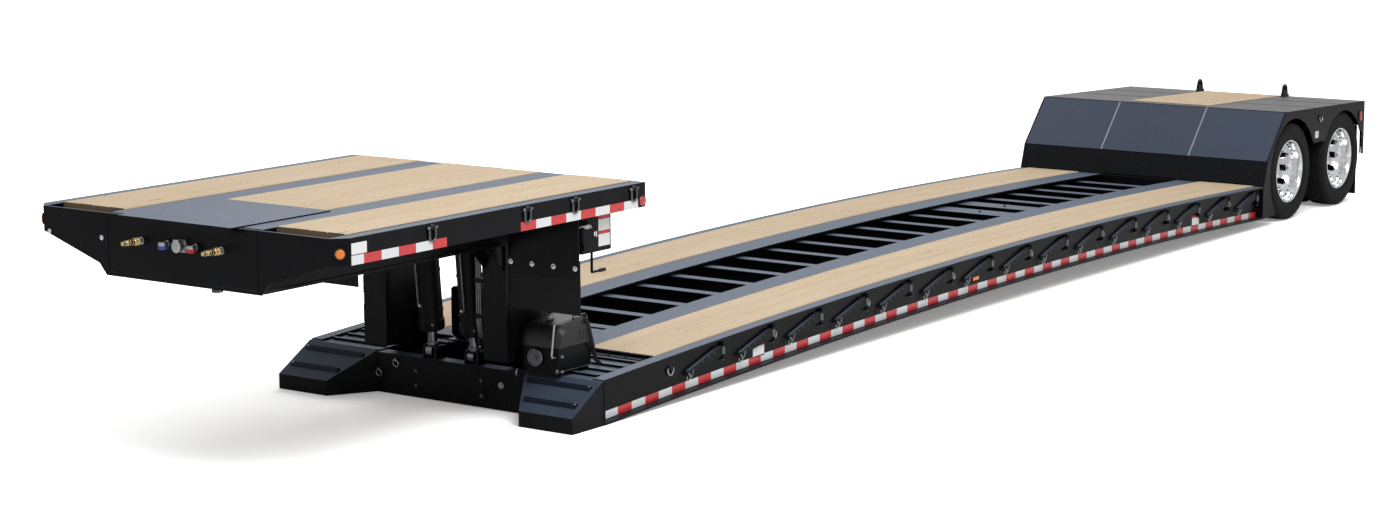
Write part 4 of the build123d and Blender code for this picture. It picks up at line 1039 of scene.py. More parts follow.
def wheel_mesh(piece, s, side):
    """Two polished ten-hole rims back to back, hub, cap, nuts and brake drum."""
    centre = at(s, side * DUAL_Y, TYRE_R)
    axis = (0, side, 0)
    outer = DUAL_SPACING / 2
    for offset, toward in ((outer, 1), (-outer, -1)):
        lip = offset + toward * 0.106
        back = offset - toward * 0.106
        face = toward * 0.010
        barrel = [(lip + toward * 0.003, RIM_R + 0.013), (lip + toward * 0.005, RIM_R + 0.009),
                  (lip + toward * 0.004, RIM_R + 0.003), (lip - toward * 0.004, RIM_R - 0.004),
                  (lip - toward * 0.022, RIM_R - 0.010), (lip - toward * 0.050, RIM_R - 0.016),
                  (offset + toward * 0.010, RIM_R - 0.028), (offset - toward * 0.020, RIM_R - 0.030),
                  (back + toward * 0.040, RIM_R - 0.022), (back + toward * 0.008, RIM_R - 0.012),
                  (back - toward * 0.002, RIM_R + 0.004), (back - toward * 0.003, RIM_R + 0.012),
                  (back + toward * 0.004, RIM_R + 0.012), (back + toward * 0.010, RIM_R + 0.001),
                  (offset - toward * 0.030, RIM_R - 0.018), (offset + toward * 0.030, RIM_R - 0.016),
                  (lip - toward * 0.014, RIM_R + 0.001), (lip - toward * 0.006, RIM_R + 0.012)]
        piece.lathe(centre, axis, barrel, "polish", 72, closed=True)

        def dish(r, face=face, offset=offset, toward=toward):
            t = max(0.0, min(1.0, (r - 0.170) / 0.086))
            ease = t * t * (3 - 2 * t)
            return face + toward * 0.004 + (offset + toward * 0.014 - face) * ease

        disc_with_holes(piece, centre, side, dish, 0.150, RIM_R - 0.026, toward * 0.016, "polish")
        piece.lathe(centre, axis, [(face - toward * 0.009, 0.090), (face + toward * 0.004, 0.090),
                (face + toward * 0.006, 0.105), (face + toward * 0.004, 0.152),
                (face - toward * 0.011, 0.152)], "polish", 60, closed=True)
    hub = [(0.008, 0.098), (0.050, 0.092), (0.056, 0.084), (0.062, 0.083), (0.096, 0.078), (0.104, 0.074),
            (0.108, 0.074), (0.110, 0.066), (0.132, 0.064), (0.141, 0.060), (0.146, 0.050), (0.1485, 0.030),
            (0.150, 0)]
    piece.lathe(centre, axis, hub, "chrome", 48)
    for t in angles(HAND_HOLES):
        p = centre + Vector((0.1420 * sin(t), side * 0.016, 0.1420 * cos(t)))
        piece.lathe(p, axis, [(0, 0.0235), (0.004, 0.0235), (0.006, 0.0195), (0.010, 0.0190)], "chrome", 18)
        piece.hexagon(p + Vector((0, side * 0.009, 0)), axis, 0.0175, 0.023, "chrome")
        piece.rod(p + Vector((0, side * 0.030, 0)), p + Vector((0, side * 0.042, 0)), 0.0095, "steel", 12,
                0.0015)
        small = centre + Vector((0.056 * sin(t), side * 0.108, 0.056 * cos(t)))
        piece.hexagon(small, axis, 0.0075, 0.007, "chrome")
    valve = radians(18)
    stem = centre + Vector((0.235 * sin(valve), side * (outer + 0.012), 0.235 * cos(valve)))
    piece.rod(stem, stem + Vector((0.010 * sin(valve), side * 0.060, 0)), 0.0045, "brass", 8, 0.001)
    drum = [(-0.300, 0.150), (-0.300, 0.192), (-0.296, 0.208), (-0.276, 0.208), (-0.272, 0.203),
            (-0.120, 0.203), (-0.116, 0.206), (-0.100, 0.206), (-0.096, 0.200), (-0.050, 0.190),
            (-0.034, 0.168), (-0.030, 0.120), (-0.040, 0.090)]
    piece.lathe(centre, axis, drum, "forged", 48)
    for k in range(5):
        b = -0.262 + 0.028 * k
        piece.lathe(centre, axis, [(b, 0.2035), (b + 0.003, 0.2065), (b + 0.008, 0.2065),
                (b + 0.011, 0.2035)], "forged", 40, closed=True)


def wheels(end, s):
    for name, side in NAMED_SIDES:
        piece = Piece(f"dual_wheel_{end}_{name}", "polish", "chrome", "steel", "forged", "brass")
        wheel_mesh(piece, s, side)
        piece.done(f"wheels_{end}_{name}", 0, (f"wheel_{end}_{name}",), "polished_wheel", 32)


for axle_name, axle_s in zip(("front", "rear"), AXLES):
    tyres(axle_name, axle_s)
    wheels(axle_name, axle_s)


# ---------------------------------------------------------------- neck front: couplings and seams

def quick_coupler(piece, y, z):
    """Hydraulic quick coupler: hexagon, knurled sleeve, dust plug on the front."""
    o = at(0, y, z)
    piece.lathe(o, AHEAD, [(0, 0.024), (0.004, 0.024), (0.005, 0.0215), (0.005, 0)], "steel", 20)
    piece.hexagon(o + Vector((0.004, 0, 0)), AHEAD, 0.0165, 0.018, "steel")
    profile = [(0.020, 0.013), (0.024, 0.0225), (0.028, 0.0240)]
    for k in range(6):
        a = 0.030 + 0.0042 * k
        profile += [(a, 0.0240), (a + 0.0010, 0.0226), (a + 0.0024, 0.0226), (a + 0.0034, 0.0240)]
    profile += [(0.060, 0.0240), (0.063, 0.0200), (0.070, 0.0165), (0.086, 0.0165), (0.088, 0.0190),
            (0.102, 0.0190), (0.104, 0.0170), (0.116, 0.0170)]
    for k in range(5):
        a = 0.118 + 0.0050 * k
        profile += [(a, 0.0150), (a + 0.0012, 0.0136), (a + 0.0030, 0.0136), (a + 0.0042, 0.0150)]
    profile += [(0.146, 0.0150), (0.150, 0.0138), (0.157, 0.0138), (0.1595, 0.0120), (0.1595, 0)]
    piece.lathe(o, AHEAD, profile, "brass", 30)
    piece.hexagon(o + Vector((0.068, 0, 0)), AHEAD, 0.0205, 0.016, "brass")
    piece.lathe(o, AHEAD, [(0.1315, 0.0148), (0.1325, 0.0176), (0.1365, 0.0176), (0.1375, 0.0148)], "steel",
            24, closed=True)


def glad_hand(piece, y, z, colour):
    """Air coupling: elbow, cast head with its lug, rubber seal and a coloured cover."""
    o = at(0, y, z)
    piece.lathe(o, AHEAD, [(0, 0.022), (0.005, 0.022), (0.006, 0.016), (0.018, 0.0145), (0.020, 0.019),
            (0.026, 0.021), (0.026, 0)], "grey_cast", 24)
    head = o + Vector((0.040, 0, 0.004))
    piece.lathe(head, UP, [(-0.020, 0.0), (-0.020, 0.016), (-0.016, 0.024), (-0.004, 0.0275), (0.006, 0.0275),
            (0.012, 0.024), (0.012, 0)], "grey_cast", 28)
    piece.lathe(head, UP, [(0.012, 0.0205), (0.017, 0.0200), (0.0185, 0.0165), (0.015, 0.0125),
            (0.012, 0.0125)], "rubber", 24, closed=True)
    piece.lathe(head, UP, [(-0.034, 0), (-0.034, 0.022), (-0.030, 0.029), (-0.012, 0.031), (-0.010, 0.027),
            (-0.020, 0.024), (-0.022, 0)], colour, 26)
    lug = [(-0.030, z - 0.004), (-0.052, z + 0.002), (-0.058, z + 0.012), (-0.050, z + 0.020),
            (-0.030, z + 0.014)]
    piece.side(lug, y + 0.016, y + 0.028, "grey_cast")
    piece.side([(s, h - 0.018) for s, h in lug], y - 0.030, y - 0.018, colour)


def seven_way(piece, y, z):
    """Electrical socket with its sprung, ribbed lid and hinge."""
    o = at(0, y, z)
    flange = [(0.040 * a, 0.040 * b) for a, b in ((-1, -0.7), (-0.7, -1), (0.7, -1), (1, -0.7), (1, 0.7),
            (0.7, 1), (-0.7, 1), (-1, 0.7))]
    piece.end([(y + a, z + b) for a, b in flange], 0, -0.007, "grey_cast")
    for a in (-0.031, 0.031):
        for b in (-0.031, 0.031):
            piece.bolt(at(-0.007, y + a, z + b), AHEAD, 0.0042, "steel")
    piece.lathe(o, AHEAD, [(0.006, 0.0335), (0.030, 0.0325), (0.040, 0.0345), (0.044, 0.0345), (0.044, 0.0)],
                "grey_cast", 30)
    lid = [(0.0445, 0.0), (0.0445, 0.037), (0.048, 0.039), (0.056, 0.0375), (0.061, 0.031), (0.0635, 0.018),
            (0.064, 0)]
    piece.lathe(o, AHEAD, lid, "grey_cast", 30)
    for k in (-1, 0, 1):
        piece.block(-0.0655, -0.050, y + 0.013 * k - 0.0025, y + 0.013 * k + 0.0025, z - 0.024, z + 0.024,
                "grey_cast")
    piece.rod(at(-0.050, y - 0.022, z + 0.038), at(-0.050, y + 0.022, z + 0.038), 0.006, "steel", 12, 0.001)
    piece.block(-0.056, -0.010, y - 0.014, y + 0.014, z + 0.033, z + 0.041, "grey_cast")


def couplings():
    piece = Piece("front_couplings", "brass", "steel", "grey_cast", "rubber", "blue", "red_cap")
    quick_coupler(piece, -0.340, FITTING_Z)
    quick_coupler(piece, 0.340, FITTING_Z)
    glad_hand(piece, -0.115, FITTING_Z, "blue")
    glad_hand(piece, 0.125, FITTING_Z, "red_cap")
    seven_way(piece, 0.010, FITTING_Z)
    piece.done("gooseneck", 0.0006, ("front_connectors",), "brass", segments=1)


def neck_front():
    """Weld seams and a lower strip on the front wall, and the cover plate's screws."""
    piece = Piece("neck_front_detail", "paint", "dull")
    for y in (-0.635, 0.635):
        piece.weld(at(-0.0008, y, 1.185), at(-0.0008, y, NECK_TOP - 0.004), 0.0024, "paint", 0.010)
    for y0, y1 in ((-HALF + CHAMFER + 0.01, -0.49), (0.49, HALF - CHAMFER - 0.01)):
        piece.weld(at(-0.001, y0, NECK_TOP - 0.002), at(-0.001, y1, NECK_TOP - 0.002), 0.003, "paint")
    piece.end([(-0.632, 1.182), (0.632, 1.182), (0.632, 1.190), (-0.632, 1.190)], 0.0, -0.004, "paint")
    for y in (-0.455, -0.16, 0.16, 0.455):
        for s in (0.03, 0.30, 0.55, 0.775):
            piece.lathe(at(s, y, NECK_TOP + 0.0077), UP,
                    [(0, 0.010), (0.0005, 0.0095), (0.0005, 0.005), (-0.001, 0.004), (-0.001, 0)], "dull", 14)
    piece.done("gooseneck", 0.0008, segments=1)


def neck_edges():
    """Welds and stiffeners along the neck's side walls, and the welds of its rims and end wall."""
    piece = Piece("neck_edge_detail", "paint", "dull")
    for side in SIDES:
        y = side * (HALF - 0.014)
        for s in NECK_BEND_S:
            piece.weld(at(s - 0.040, y, 1.404), at(s - 0.040, y, 1.500), 0.004, "dull")
            outline = [(y, NECK_LOW + 0.004), (side * 0.66, NECK_LOW - 0.060),
                    (side * 0.66, NECK_LOW + 0.012), (y, NECK_LOW + 0.014)]
            piece.end(outline, s - 0.004, s + 0.004, "paint")
        rim = side * (HALF - NECK_RIM + 0.003)
        piece.weld(at(NECK_RIM_FRONT, rim, NECK_TOP + 0.0003), at(NECK_END - 0.02, rim, NECK_TOP + 0.0003),
                0.0022, "dull", 0.02)
    piece.weld(at(NECK_END + 0.0005, -HALF + 0.02, NECK_TOP - 0.002),
            at(NECK_END + 0.0005, HALF - 0.02, NECK_TOP - 0.002), 0.003, "paint")
    piece.done("gooseneck", 0.0)


def kingpin_detail():
    """Weld ring round the kingpin and the edge welds of its plate."""
    piece = Piece("kingpin_welds", "forged", "dull")
    pin = at(0.290, 0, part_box("kingpin_plate")[1].z - 0.014)
    ring = [pin + Vector((0.038 * cos(t), 0.038 * sin(t), 0)) for t in angles(24)]
    piece.tube(ring, 0.006, "forged", 8, closed=True)
    for side in SIDES:
        piece.weld(at(0.03, side * 0.412, pin.z + 0.001), at(1.04, side * 0.412, pin.z + 0.001), 0.004,
                "dull", 0.02)
        for s in (0.55, 0.75, 0.95):
            piece.bolt(at(s, side * 0.33, pin.z), (0, 0, -1), 0.010, "forged")
    piece.done("gooseneck")


couplings()
neck_front()
neck_edges()
kingpin_detail()


# ---------------------------------------------------------------- splash flaps, valve box and work lamp

def flaps():
    """Two-piece rubber splash flaps, bolted through a steel bar."""
    piece = Piece("splash_flap_pair", "flap", "flap_low", "steel", "paint")
    for side in SIDES:
        y0, y1 = across(side, *FLAP_EDGES)
        rings = []
        for k in range(13):
            z = 1.110 - (1.110 - 0.754) * k / 12
            sway = 0.0018 * sin(k * 0.8) * k / 12
            rings.append([(FRONT - 2.287 + sway, y0, z), (FRONT - 2.287 + sway, y1, z),
                          (FRONT - 2.295 + sway, y1, z), (FRONT - 2.295 + sway, y0, z)])
        piece.loft(rings[:5], "flap")
        piece.loft(rings[4:], "flap_low")
        for k in range(4):
            z = 0.776 + 0.018 * k
            piece.block(2.2858, 2.288, y0 + 0.02, y1 - 0.02, z, z + 0.007, "flap_low")
    piece.done("gooseneck", 0.0010, ("splash_flaps",), "rubber", segments=1)
    bars = Piece("splash_flap_fixings", "paint", "steel", "chrome")
    for side in SIDES:
        for y in (0.694, 0.872, 1.050, 1.228):
            bars.lathe(at(2.2780, side * y, 1.062), AHEAD,
                    [(0, 0.015), (0.003, 0.015), (0.004, 0.012), (0.004, 0)], "chrome", 20)
            bars.bolt(at(2.2745, side * y, 1.062), AHEAD, 0.0105, "chrome")
            bars.hexagon(at(2.2965, side * y, 1.062), BACK, 0.012, 0.010, "steel")
        bars.side([(2.286, 1.12), (2.286, 1.388), (2.40, 1.388)], *across(side, 0.90, 0.908), "paint")
    bars.done("gooseneck", 0.0010, segments=1)


def valve_box_detail():
    """Door, hinge, catch, blank labels, levers and the crank rod's grip on the control box."""
    piece = Piece("valve_box_detail", "paint", "label", "label_red", "steel", "chrome", "rubber")
    y = 1.195
    s0 = 2.390
    s1 = 2.700
    piece.block(s0 + 0.012, s0 + 0.160, y, y + 0.004, 1.150, 1.362, "paint")
    for z in (1.185, 1.325):
        piece.rod(at(s0 + 0.014, y + 0.006, z - 0.022), at(s0 + 0.014, y + 0.006, z + 0.022), 0.0055, "paint",
                10, 0.001)
    piece.lathe(at(s0 + 0.135, y + 0.004, 1.256), (0, 1, 0),
            [(0, 0.017), (0.004, 0.017), (0.007, 0.013), (0.007, 0)], "chrome", 20)
    piece.block(s0 + 0.130, s0 + 0.140, y + 0.010, y + 0.018, 1.236, 1.276, "chrome")
    for z0, z1, name in ((1.166, 1.246, "label"), (1.248, 1.266, "label_red"), (1.268, 1.344, "label"),
            (1.346, 1.366, "label_red")):
        piece.block(2.566, 2.688, y, y + 0.0012, z0, z1, name)
    for k in range(4):
        s = s0 + 0.030 + 0.030 * k
        piece.rod(at(s, 1.02, 1.136), at(s, 1.02, 1.096 + 0.004 * (k % 2)), 0.0055, "steel", 10, 0.001)
        piece.lathe(at(s, 1.02, 1.090), (0, 0, -1),
                [(-0.012, 0.004), (-0.010, 0.011), (0, 0.0145), (0.010, 0.011), (0.013, 0)], "rubber", 14)
    piece.lathe(at(2.628, 1.150, 0.995), BACK, [(0, 0.0095), (0.002, 0.0125), (0.060, 0.0125),
            (0.064, 0.0095)], "rubber", 14)
    back = FRONT - s1
    piece.end([(0.83, 1.15), (1.16, 1.15), (1.16, 1.36), (0.83, 1.36)], s1, s1 + 0.003, "paint")
    for a in (0.85, 1.14):
        for z in (1.17, 1.34):
            piece.bolt((back - 0.003, a, z), BACK, 0.0055, "steel")
    piece.done("gooseneck", 0.0010, segments=1)


def work_lamp():
    """Round clear lamp in its can on a bracket under the neck's left edge."""
    piece = Piece("work_lamp", "paint", "clear", "chrome")
    o = at(2.420, 1.190, 1.300)
    axis = Vector((0.30, 0.42, -0.86)).normalized()
    can = [(-0.052, 0), (-0.052, 0.018), (-0.044, 0.032), (-0.020, 0.046), (-0.002, 0.050), (0.002, 0.053),
           (0.008, 0.053), (0.009, 0.048), (0.002, 0.046), (0.002, 0)]
    piece.lathe(o - axis * 0.010, axis, can, "chrome", 30)
    glass = [(-0.006, 0.0455), (-0.003, 0.040), (0.001, 0.024), (0.002, 0)]
    piece.lathe(o, axis, glass, "clear", 30)
    for k in range(4):
        r = 0.010 + 0.009 * k
        piece.lathe(o, axis, [(-0.003, r - 0.002), (0.0022 - 0.0012 * k, r), (-0.003, r + 0.002)], "clear",
                26, closed=True)
    piece.tube([o - axis * 0.055, o - axis * 0.066, at(2.425, 1.165, 1.391)], 0.006, "paint", 8)
    piece.block(2.395, 2.450, 1.130, 1.195, 1.386, 1.392, "paint")
    piece.done("gooseneck", 0.0)


flaps()
valve_box_detail()
work_lamp()


# ---------------------------------------------------------------- power pack on the left ramp

def oil_tank(piece):
    """Pressed oil tank with its straps, filler and gauge; a valve block with its spools and hoses."""
    s0, s1, y0, y1, z0, z1 = 2.925, 3.125, -0.385, 0.060, 0.348, 0.700
    c = 0.018
    wall = [(y0 + c, z0 + 0.001), (y1 - c, z0 + 0.001), (y1 - 0.001, z0 + c), (y1 - 0.001, z1 - c),
            (y1 - c, z1 - 0.001), (y0 + c, z1 - 0.001), (y0 + 0.001, z1 - c), (y0 + 0.001, z0 + c)]
    piece.end(wall, s0 + 0.001, s1 - 0.001, "paint")
    for y in (-0.300, -0.030):
        piece.end([(y, z0 - 0.001), (y + 0.030, z0 - 0.001), (y + 0.030, z1 + 0.002), (y, z1 + 0.002)],
                s0 - 0.002, s1 + 0.002, "dull")
        piece.bolt(at(s0 - 0.002, y + 0.015, z1 - 0.030), AHEAD, 0.007, "steel")
    for y in (-0.360, -0.025):
        piece.block(s0 + 0.010, s0 + 0.065, y, y + 0.060, deck_z(2.93) + 0.004, z0 + 0.002, "paint")
    piece.lathe(at(3.060, -0.300, z1 - 0.002), UP,
            [(0, 0.034), (0.012, 0.034), (0.014, 0.030), (0.020, 0.030), (0.021, 0.034), (0.031, 0.034),
            (0.033, 0.029), (0.033, 0)], "forged", 36)
    piece.lathe(at(s0 + 0.001, -0.160, 0.520), AHEAD,
            [(0, 0.030), (0.006, 0.030), (0.008, 0.025), (0.005, 0.023), (0.005, 0)], "forged", 30)
    piece.block(s0, s0 + 0.120, 0.080, 0.300, z0, 0.455, "forged")
    piece.block(s0 + 0.015, s0 + 0.065, 0.150, 0.230, deck_z(2.94) + 0.004, z0 + 0.002, "paint")
    piece.block(s0 + 0.025, s0 + 0.065, 0.050, 0.090, 0.360, 0.420, "forged")
    for k in range(4):
        y = 0.110 + 0.050 * k
        piece.hexagon(at(s0 + 0.050, y, 0.455), UP, 0.016, 0.014, "steel")
        piece.lathe(at(s0 + 0.050, y, 0.469), UP,
                [(0, 0.010), (0.030, 0.010), (0.032, 0.013), (0.048, 0.013), (0.052, 0.009), (0.052, 0)],
                "forged", 16)
        piece.hexagon(at(s0, y, 0.400), AHEAD, 0.014, 0.012, "steel")
        drop = 0.010 * (k % 2)
        piece.tube([at(s0 - 0.010, y, 0.400), at(s0 - 0.055, y, 0.402), at(s0 - 0.085, y - 0.01, 0.42 - drop),
                at(s0 - 0.100, y - 0.03, 0.47), at(s0 - 0.090, y - 0.05, 0.54 + drop),
                at(s0 - 0.060, y - 0.05, 0.585)], 0.0095, "rubber", 10)


def power_pack():
    """Moulded hood over the engine and pump, louvres shown as dark strips of painted shade, grab rails,
    filler, pull rod and its tray.
    """
    piece = Piece("power_pack_hood", "hood", "paint", "steel", "rubber", "forged", "hole", "dull")
    s0, s1 = 2.372, 2.742
    y0, y1 = 0.676, 0.998
    base = 0.330
    lower = [(s0 + 0.028, base + 0.004), (s1 - 0.004, base + 0.004), (s1, base + 0.18),
            (s0 + 0.018, base + 0.17)]
    piece.side(lower, y0 + 0.010, y1 - 0.012, "paint")
    crown = [(s0 - 0.010, base + 0.165), (s0 - 0.008, base + 0.205), (s0 + 0.012, base + 0.268),
            (s0 + 0.040, base + 0.300), (s0 + 0.085, base + 0.316), (s1 - 0.130, base + 0.338),
            (s1 - 0.050, base + 0.338), (s1 - 0.004, base + 0.318), (s1 + 0.008, base + 0.285),
            (s1 + 0.010, base + 0.165)]
    centre_s = (s0 + s1) / 2
    rings = []
    steps = 12
    for f in (k / steps for k in range(steps + 1)):
        y = y0 - 0.006 + (y1 - y0 + 0.014) * f
        u = abs(2 * f - 1)
        shrink = 1 - 0.16 * u ** 5
        lift = 1 - 0.30 * u ** 6
        ring = [(FRONT - (centre_s + (s - centre_s) * shrink), y, base + 0.165 + (z - base - 0.165) * lift)
                for s, z in crown]
        rings.append(ring)
    piece.loft(rings, "hood")
    # Painted shade: alternate ribs are near-black, standing for the shaded insides of the louvre slots.
    for k in range(7):
        s = centre_s + 0.020 + 0.018 * k
        piece.block(s, s + 0.008, y1 + 0.003, y1 + 0.009, base + 0.190, base + 0.262,
                "hole" if k % 2 else "hood")
    # Painted shade: near-black strips on the hood's end stand for its shaded slots.
    for k in range(5):
        z = base + 0.190 + 0.020 * k
        piece.end([(y0 + 0.05, z), (y1 - 0.05, z), (y1 - 0.055, z + 0.009), (y0 + 0.055, z + 0.009)],
                s1 + 0.004, s1 + 0.014, "hole")
    for y in (y0 + 0.045, y1 - 0.045):
        piece.tube([at(s1 - 0.150, y, base + 0.330), at(s1 - 0.140, y, base + 0.346),
                at(s1 - 0.020, y, base + 0.344), at(s1 + 0.004, y, base + 0.320),
                at(s1 + 0.006, y, base + 0.200)], 0.0055, "forged", 8)
    piece.tube([at(s0 + 0.018, y1 - 0.03, base + 0.100), at(s0 - 0.022, y1 - 0.03, base + 0.105),
                at(s0 - 0.026, y1 - 0.03, base + 0.120), at(s0 + 0.006, y1 - 0.03, base + 0.322),
                at(s0 + 0.030, y1 - 0.03, base + 0.330)], 0.0065, "steel", 8)
    wheel = at(s0 + 0.016, (y0 + y1) / 2 - 0.04, base + 0.085)
    piece.lathe(wheel, AHEAD, [(0.0, 0.0), (0.0, 0.060), (0.006, 0.064), (0.012, 0.058), (0.012, 0.048),
            (0.006, 0.046), (0.006, 0.018), (0.016, 0.016), (0.018, 0)], "forged", 32)
    cap = at(centre_s - 0.06, (y0 + y1) / 2, base + 0.325)
    piece.lathe(cap, UP, [(0, 0.026), (0.012, 0.026), (0.016, 0.022), (0.017, 0)], "forged", 20)
    for s in (s0 + 0.045, s1 - 0.050):
        piece.block(s, s + 0.045, y0 + 0.024, y1 - 0.028, base - 0.031, base + 0.006, "paint")
    piece.side([(s0 + 0.004, base - 0.002), (s1 + 0.004, base - 0.002), (s1 + 0.004, base + 0.022),
            (s0 + 0.004, base + 0.022)], y1 - 0.020, y1 - 0.014, "steel")
    piece.tube([at(s1 - 0.080, y1 - 0.004, base + 0.330), at(s1 - 0.062, y1 + 0.012, base + 0.290),
                at(s1 - 0.020, y1 + 0.014, base + 0.150), at(s1 + 0.030, y1 + 0.004, base + 0.030),
                at(s1 + 0.095, y1 - 0.010, base - 0.010)], 0.0075, "rubber", 8, flat=1.9)
    for k in (-1, 1):
        piece.bolt(at(s0 + 0.06, y1 - 0.012, base + 0.05 + 0.05 * k), (0, 1, 0), 0.007, "steel")
    oil_tank(piece)
    piece.done("deck", 0.0018, ("power_pack",), "frame_paint")


power_pack()


# ---------------------------------------------------------------- ramps and coupling

def ramp_detail():
    """Bright studs at the grip bars' ends, and the welds along the ramps' edges."""
    piece = Piece("ramp_detail", "steel", "dull")
    tip, top = 2.140, WELL_START - 0.020
    tip_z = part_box("front_ramps")[0].z + 0.107
    top_z = deck_z(WELL_START) - 0.008
    for side in SIDES:
        for part in (0.30, 0.78):
            s = tip + part * (top - tip)
            z = tip_z + part * (top_z - tip_z) + 0.012
            axis = Vector((top_z - tip_z, 0, top - tip)).normalized()
            piece.lathe(at(s, side * (HALF - 0.052), z), axis,
                    [(0, 0.0075), (0.006, 0.0075), (0.009, 0.005), (0.0095, 0)], "steel", 14)
        piece.weld(at(tip + 0.01, side * (HALF - 0.002), tip_z - 0.002),
                at(top, side * (HALF - 0.002), top_z - 0.004), 0.003, "dull", 0.014)
        piece.weld(at(WELL_START - 0.004, side * (HALF + 0.0002), 0.02),
                at(WELL_START - 0.004, side * (HALF + 0.0002), 0.27), 0.0045, "dull", 0.012)
    piece.done("deck")


def coupling_detail():
    """Retainer plates on the hinge pins; rings, a hook, a cover and a tread on the crossbox."""
    piece = Piece("coupling_detail", "paint", "steel", "forged", "dull")
    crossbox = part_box("neck_coupling")
    front = FRONT - crossbox[1].x
    for side in SIDES:
        for y, out in ((side * 0.657, side), (side * 0.403, -side)):
            o = at(HINGE[0], y, HINGE[1])
            piece.lathe(o, (0, out, 0), [(0, 0.060), (0.007, 0.060), (0.009, 0.056), (0.009, 0)], "forged",
                    28)
            for k in range(3):
                t = 2 * pi * k / 3 + 0.5
                piece.bolt(o + Vector((0.042 * cos(t), out * 0.009, 0.042 * sin(t))), (0, out, 0), 0.007,
                        "steel")
        for s, z0, z1 in ((2.562, 0.024, 0.27), (2.902, 0.024, 0.28)):
            for y in (0.400, 0.660):
                piece.weld(at(s, side * y, z0), at(s, side * y, z1), 0.006, "dull", 0.013)
    for y, z in ((-0.468, 0.245), (-0.624, 0.163)):
        ring = [at(front - 0.012 - 0.004 * sin(a), y + 0.024 * cos(a), z - 0.022 + 0.024 * sin(a))
                for a in angles(20)]
        piece.tube(ring, 0.0045, "steel", 8, closed=True)
        piece.block(front - 0.018, front, y - 0.012, y + 0.012, z - 0.004, z + 0.014, "forged")
    piece.bolt(at(front, 0.457, 0.174), AHEAD, 0.013, "steel")
    hook = at(front - 0.004, 0.620, 0.262)
    piece.tube([hook, hook + Vector((0.020, 0, 0.002)), hook + Vector((0.032, 0, 0.014)),
            hook + Vector((0.032, 0, 0.034)), hook + Vector((0.020, 0, 0.048))], 0.0065, "steel", 8)
    piece.end([(-0.33, 0.060), (0.33, 0.060), (0.33, 0.090), (0.30, 0.215), (-0.30, 0.215), (-0.33, 0.090)],
              front, front - 0.006, "paint")
    for y in (-0.29, 0.29):
        for z in (0.085, 0.190):
            piece.bolt(at(front - 0.006, y, z), AHEAD, 0.008, "forged")
    piece.weld(at(front + 0.002, -0.66, crossbox[0].z + 0.277),
            at(front + 0.002, 0.66, crossbox[0].z + 0.277), 0.004, "dull", 0.02)
    piece.plan([(2.560, -0.300), (2.905, -0.300), (2.905, 0.300), (2.560, 0.300)], 0.0205, 0.028, "paint")
    for k in range(5):
        s = 2.600 + 0.062 * k
        piece.block(s, s + 0.010, -0.28, 0.28, 0.028, 0.034, "paint")
    piece.done("deck", 0.0010, segments=1)


def column_detail():
    """Doubler plates, gussets, pivot rings and hard hydraulic lines on the neck's columns."""
    piece = Piece("column_detail", "paint", "dull", "forged")
    for side in SIDES:
        for y0, y1 in ((0.430, 0.426), (0.630, 0.634)):
            low, high = across(side, y0, y1)
            outline = [(2.330, 0.45), (2.330, 1.12), (2.38, 1.155), (2.66, 1.155), (2.71, 1.12), (2.71, 0.52),
                       (2.66, 0.43)]
            piece.side(outline, low, high, "paint")
        for z in (0.52, 0.72, 0.92, 1.10):
            for y in (side * 0.4305, side * 0.6295):
                piece.weld(at(COLUMN_FRONT, y, z), at(COLUMN_FRONT, y, z + 0.12), 0.004, "dull", 0.012)
        for y in (0.46, 0.60):
            piece.bolt(at(COLUMN_FRONT, side * y, 1.10), AHEAD, 0.010, "paint")
        gusset = [(COLUMN_FRONT, 0.985), (COLUMN_FRONT, 1.163), (2.120, 1.163), (2.150, 1.135)]
        for y in (0.450, 0.610):
            piece.side(gusset, *across(side, y - 0.005, y + 0.005), "paint")
        for k in range(2):
            y = side * (0.4295 - 0.012 * k) if k else side * 0.6305
            piece.lathe(at(HINGE[0], y, HINGE[1]), (0, side if not k else -side, 0),
                    [(0, 0.070), (0.004, 0.070), (0.006, 0.064), (0.006, 0.040), (0, 0.040)], "forged", 30,
                    closed=True)
    for k, (y, top) in enumerate(((0.400, 1.36), (0.384, 1.33), (0.368, 1.30))):
        line = [at(1.30, y, top), at(2.20, y, top), at(2.27, y, top - 0.02), at(2.30, y, top - 0.09),
                at(2.31, y, 1.00), at(2.31, y, 0.62), at(2.33, y, 0.52), at(2.40, y, 0.47)]
        piece.tube(line, 0.0065, "forged", 8)
    for z in (1.15, 0.90, 0.66):
        piece.block(2.296, 2.322, 0.358, 0.429, z - 0.014, z + 0.014, "dull")
    for s in (1.42, 1.70, 1.98):
        piece.block(s - 0.014, s + 0.014, 0.358, 0.429, 1.285, 1.372, "dull")
    piece.done("gooseneck", 0.0010, segments=1)


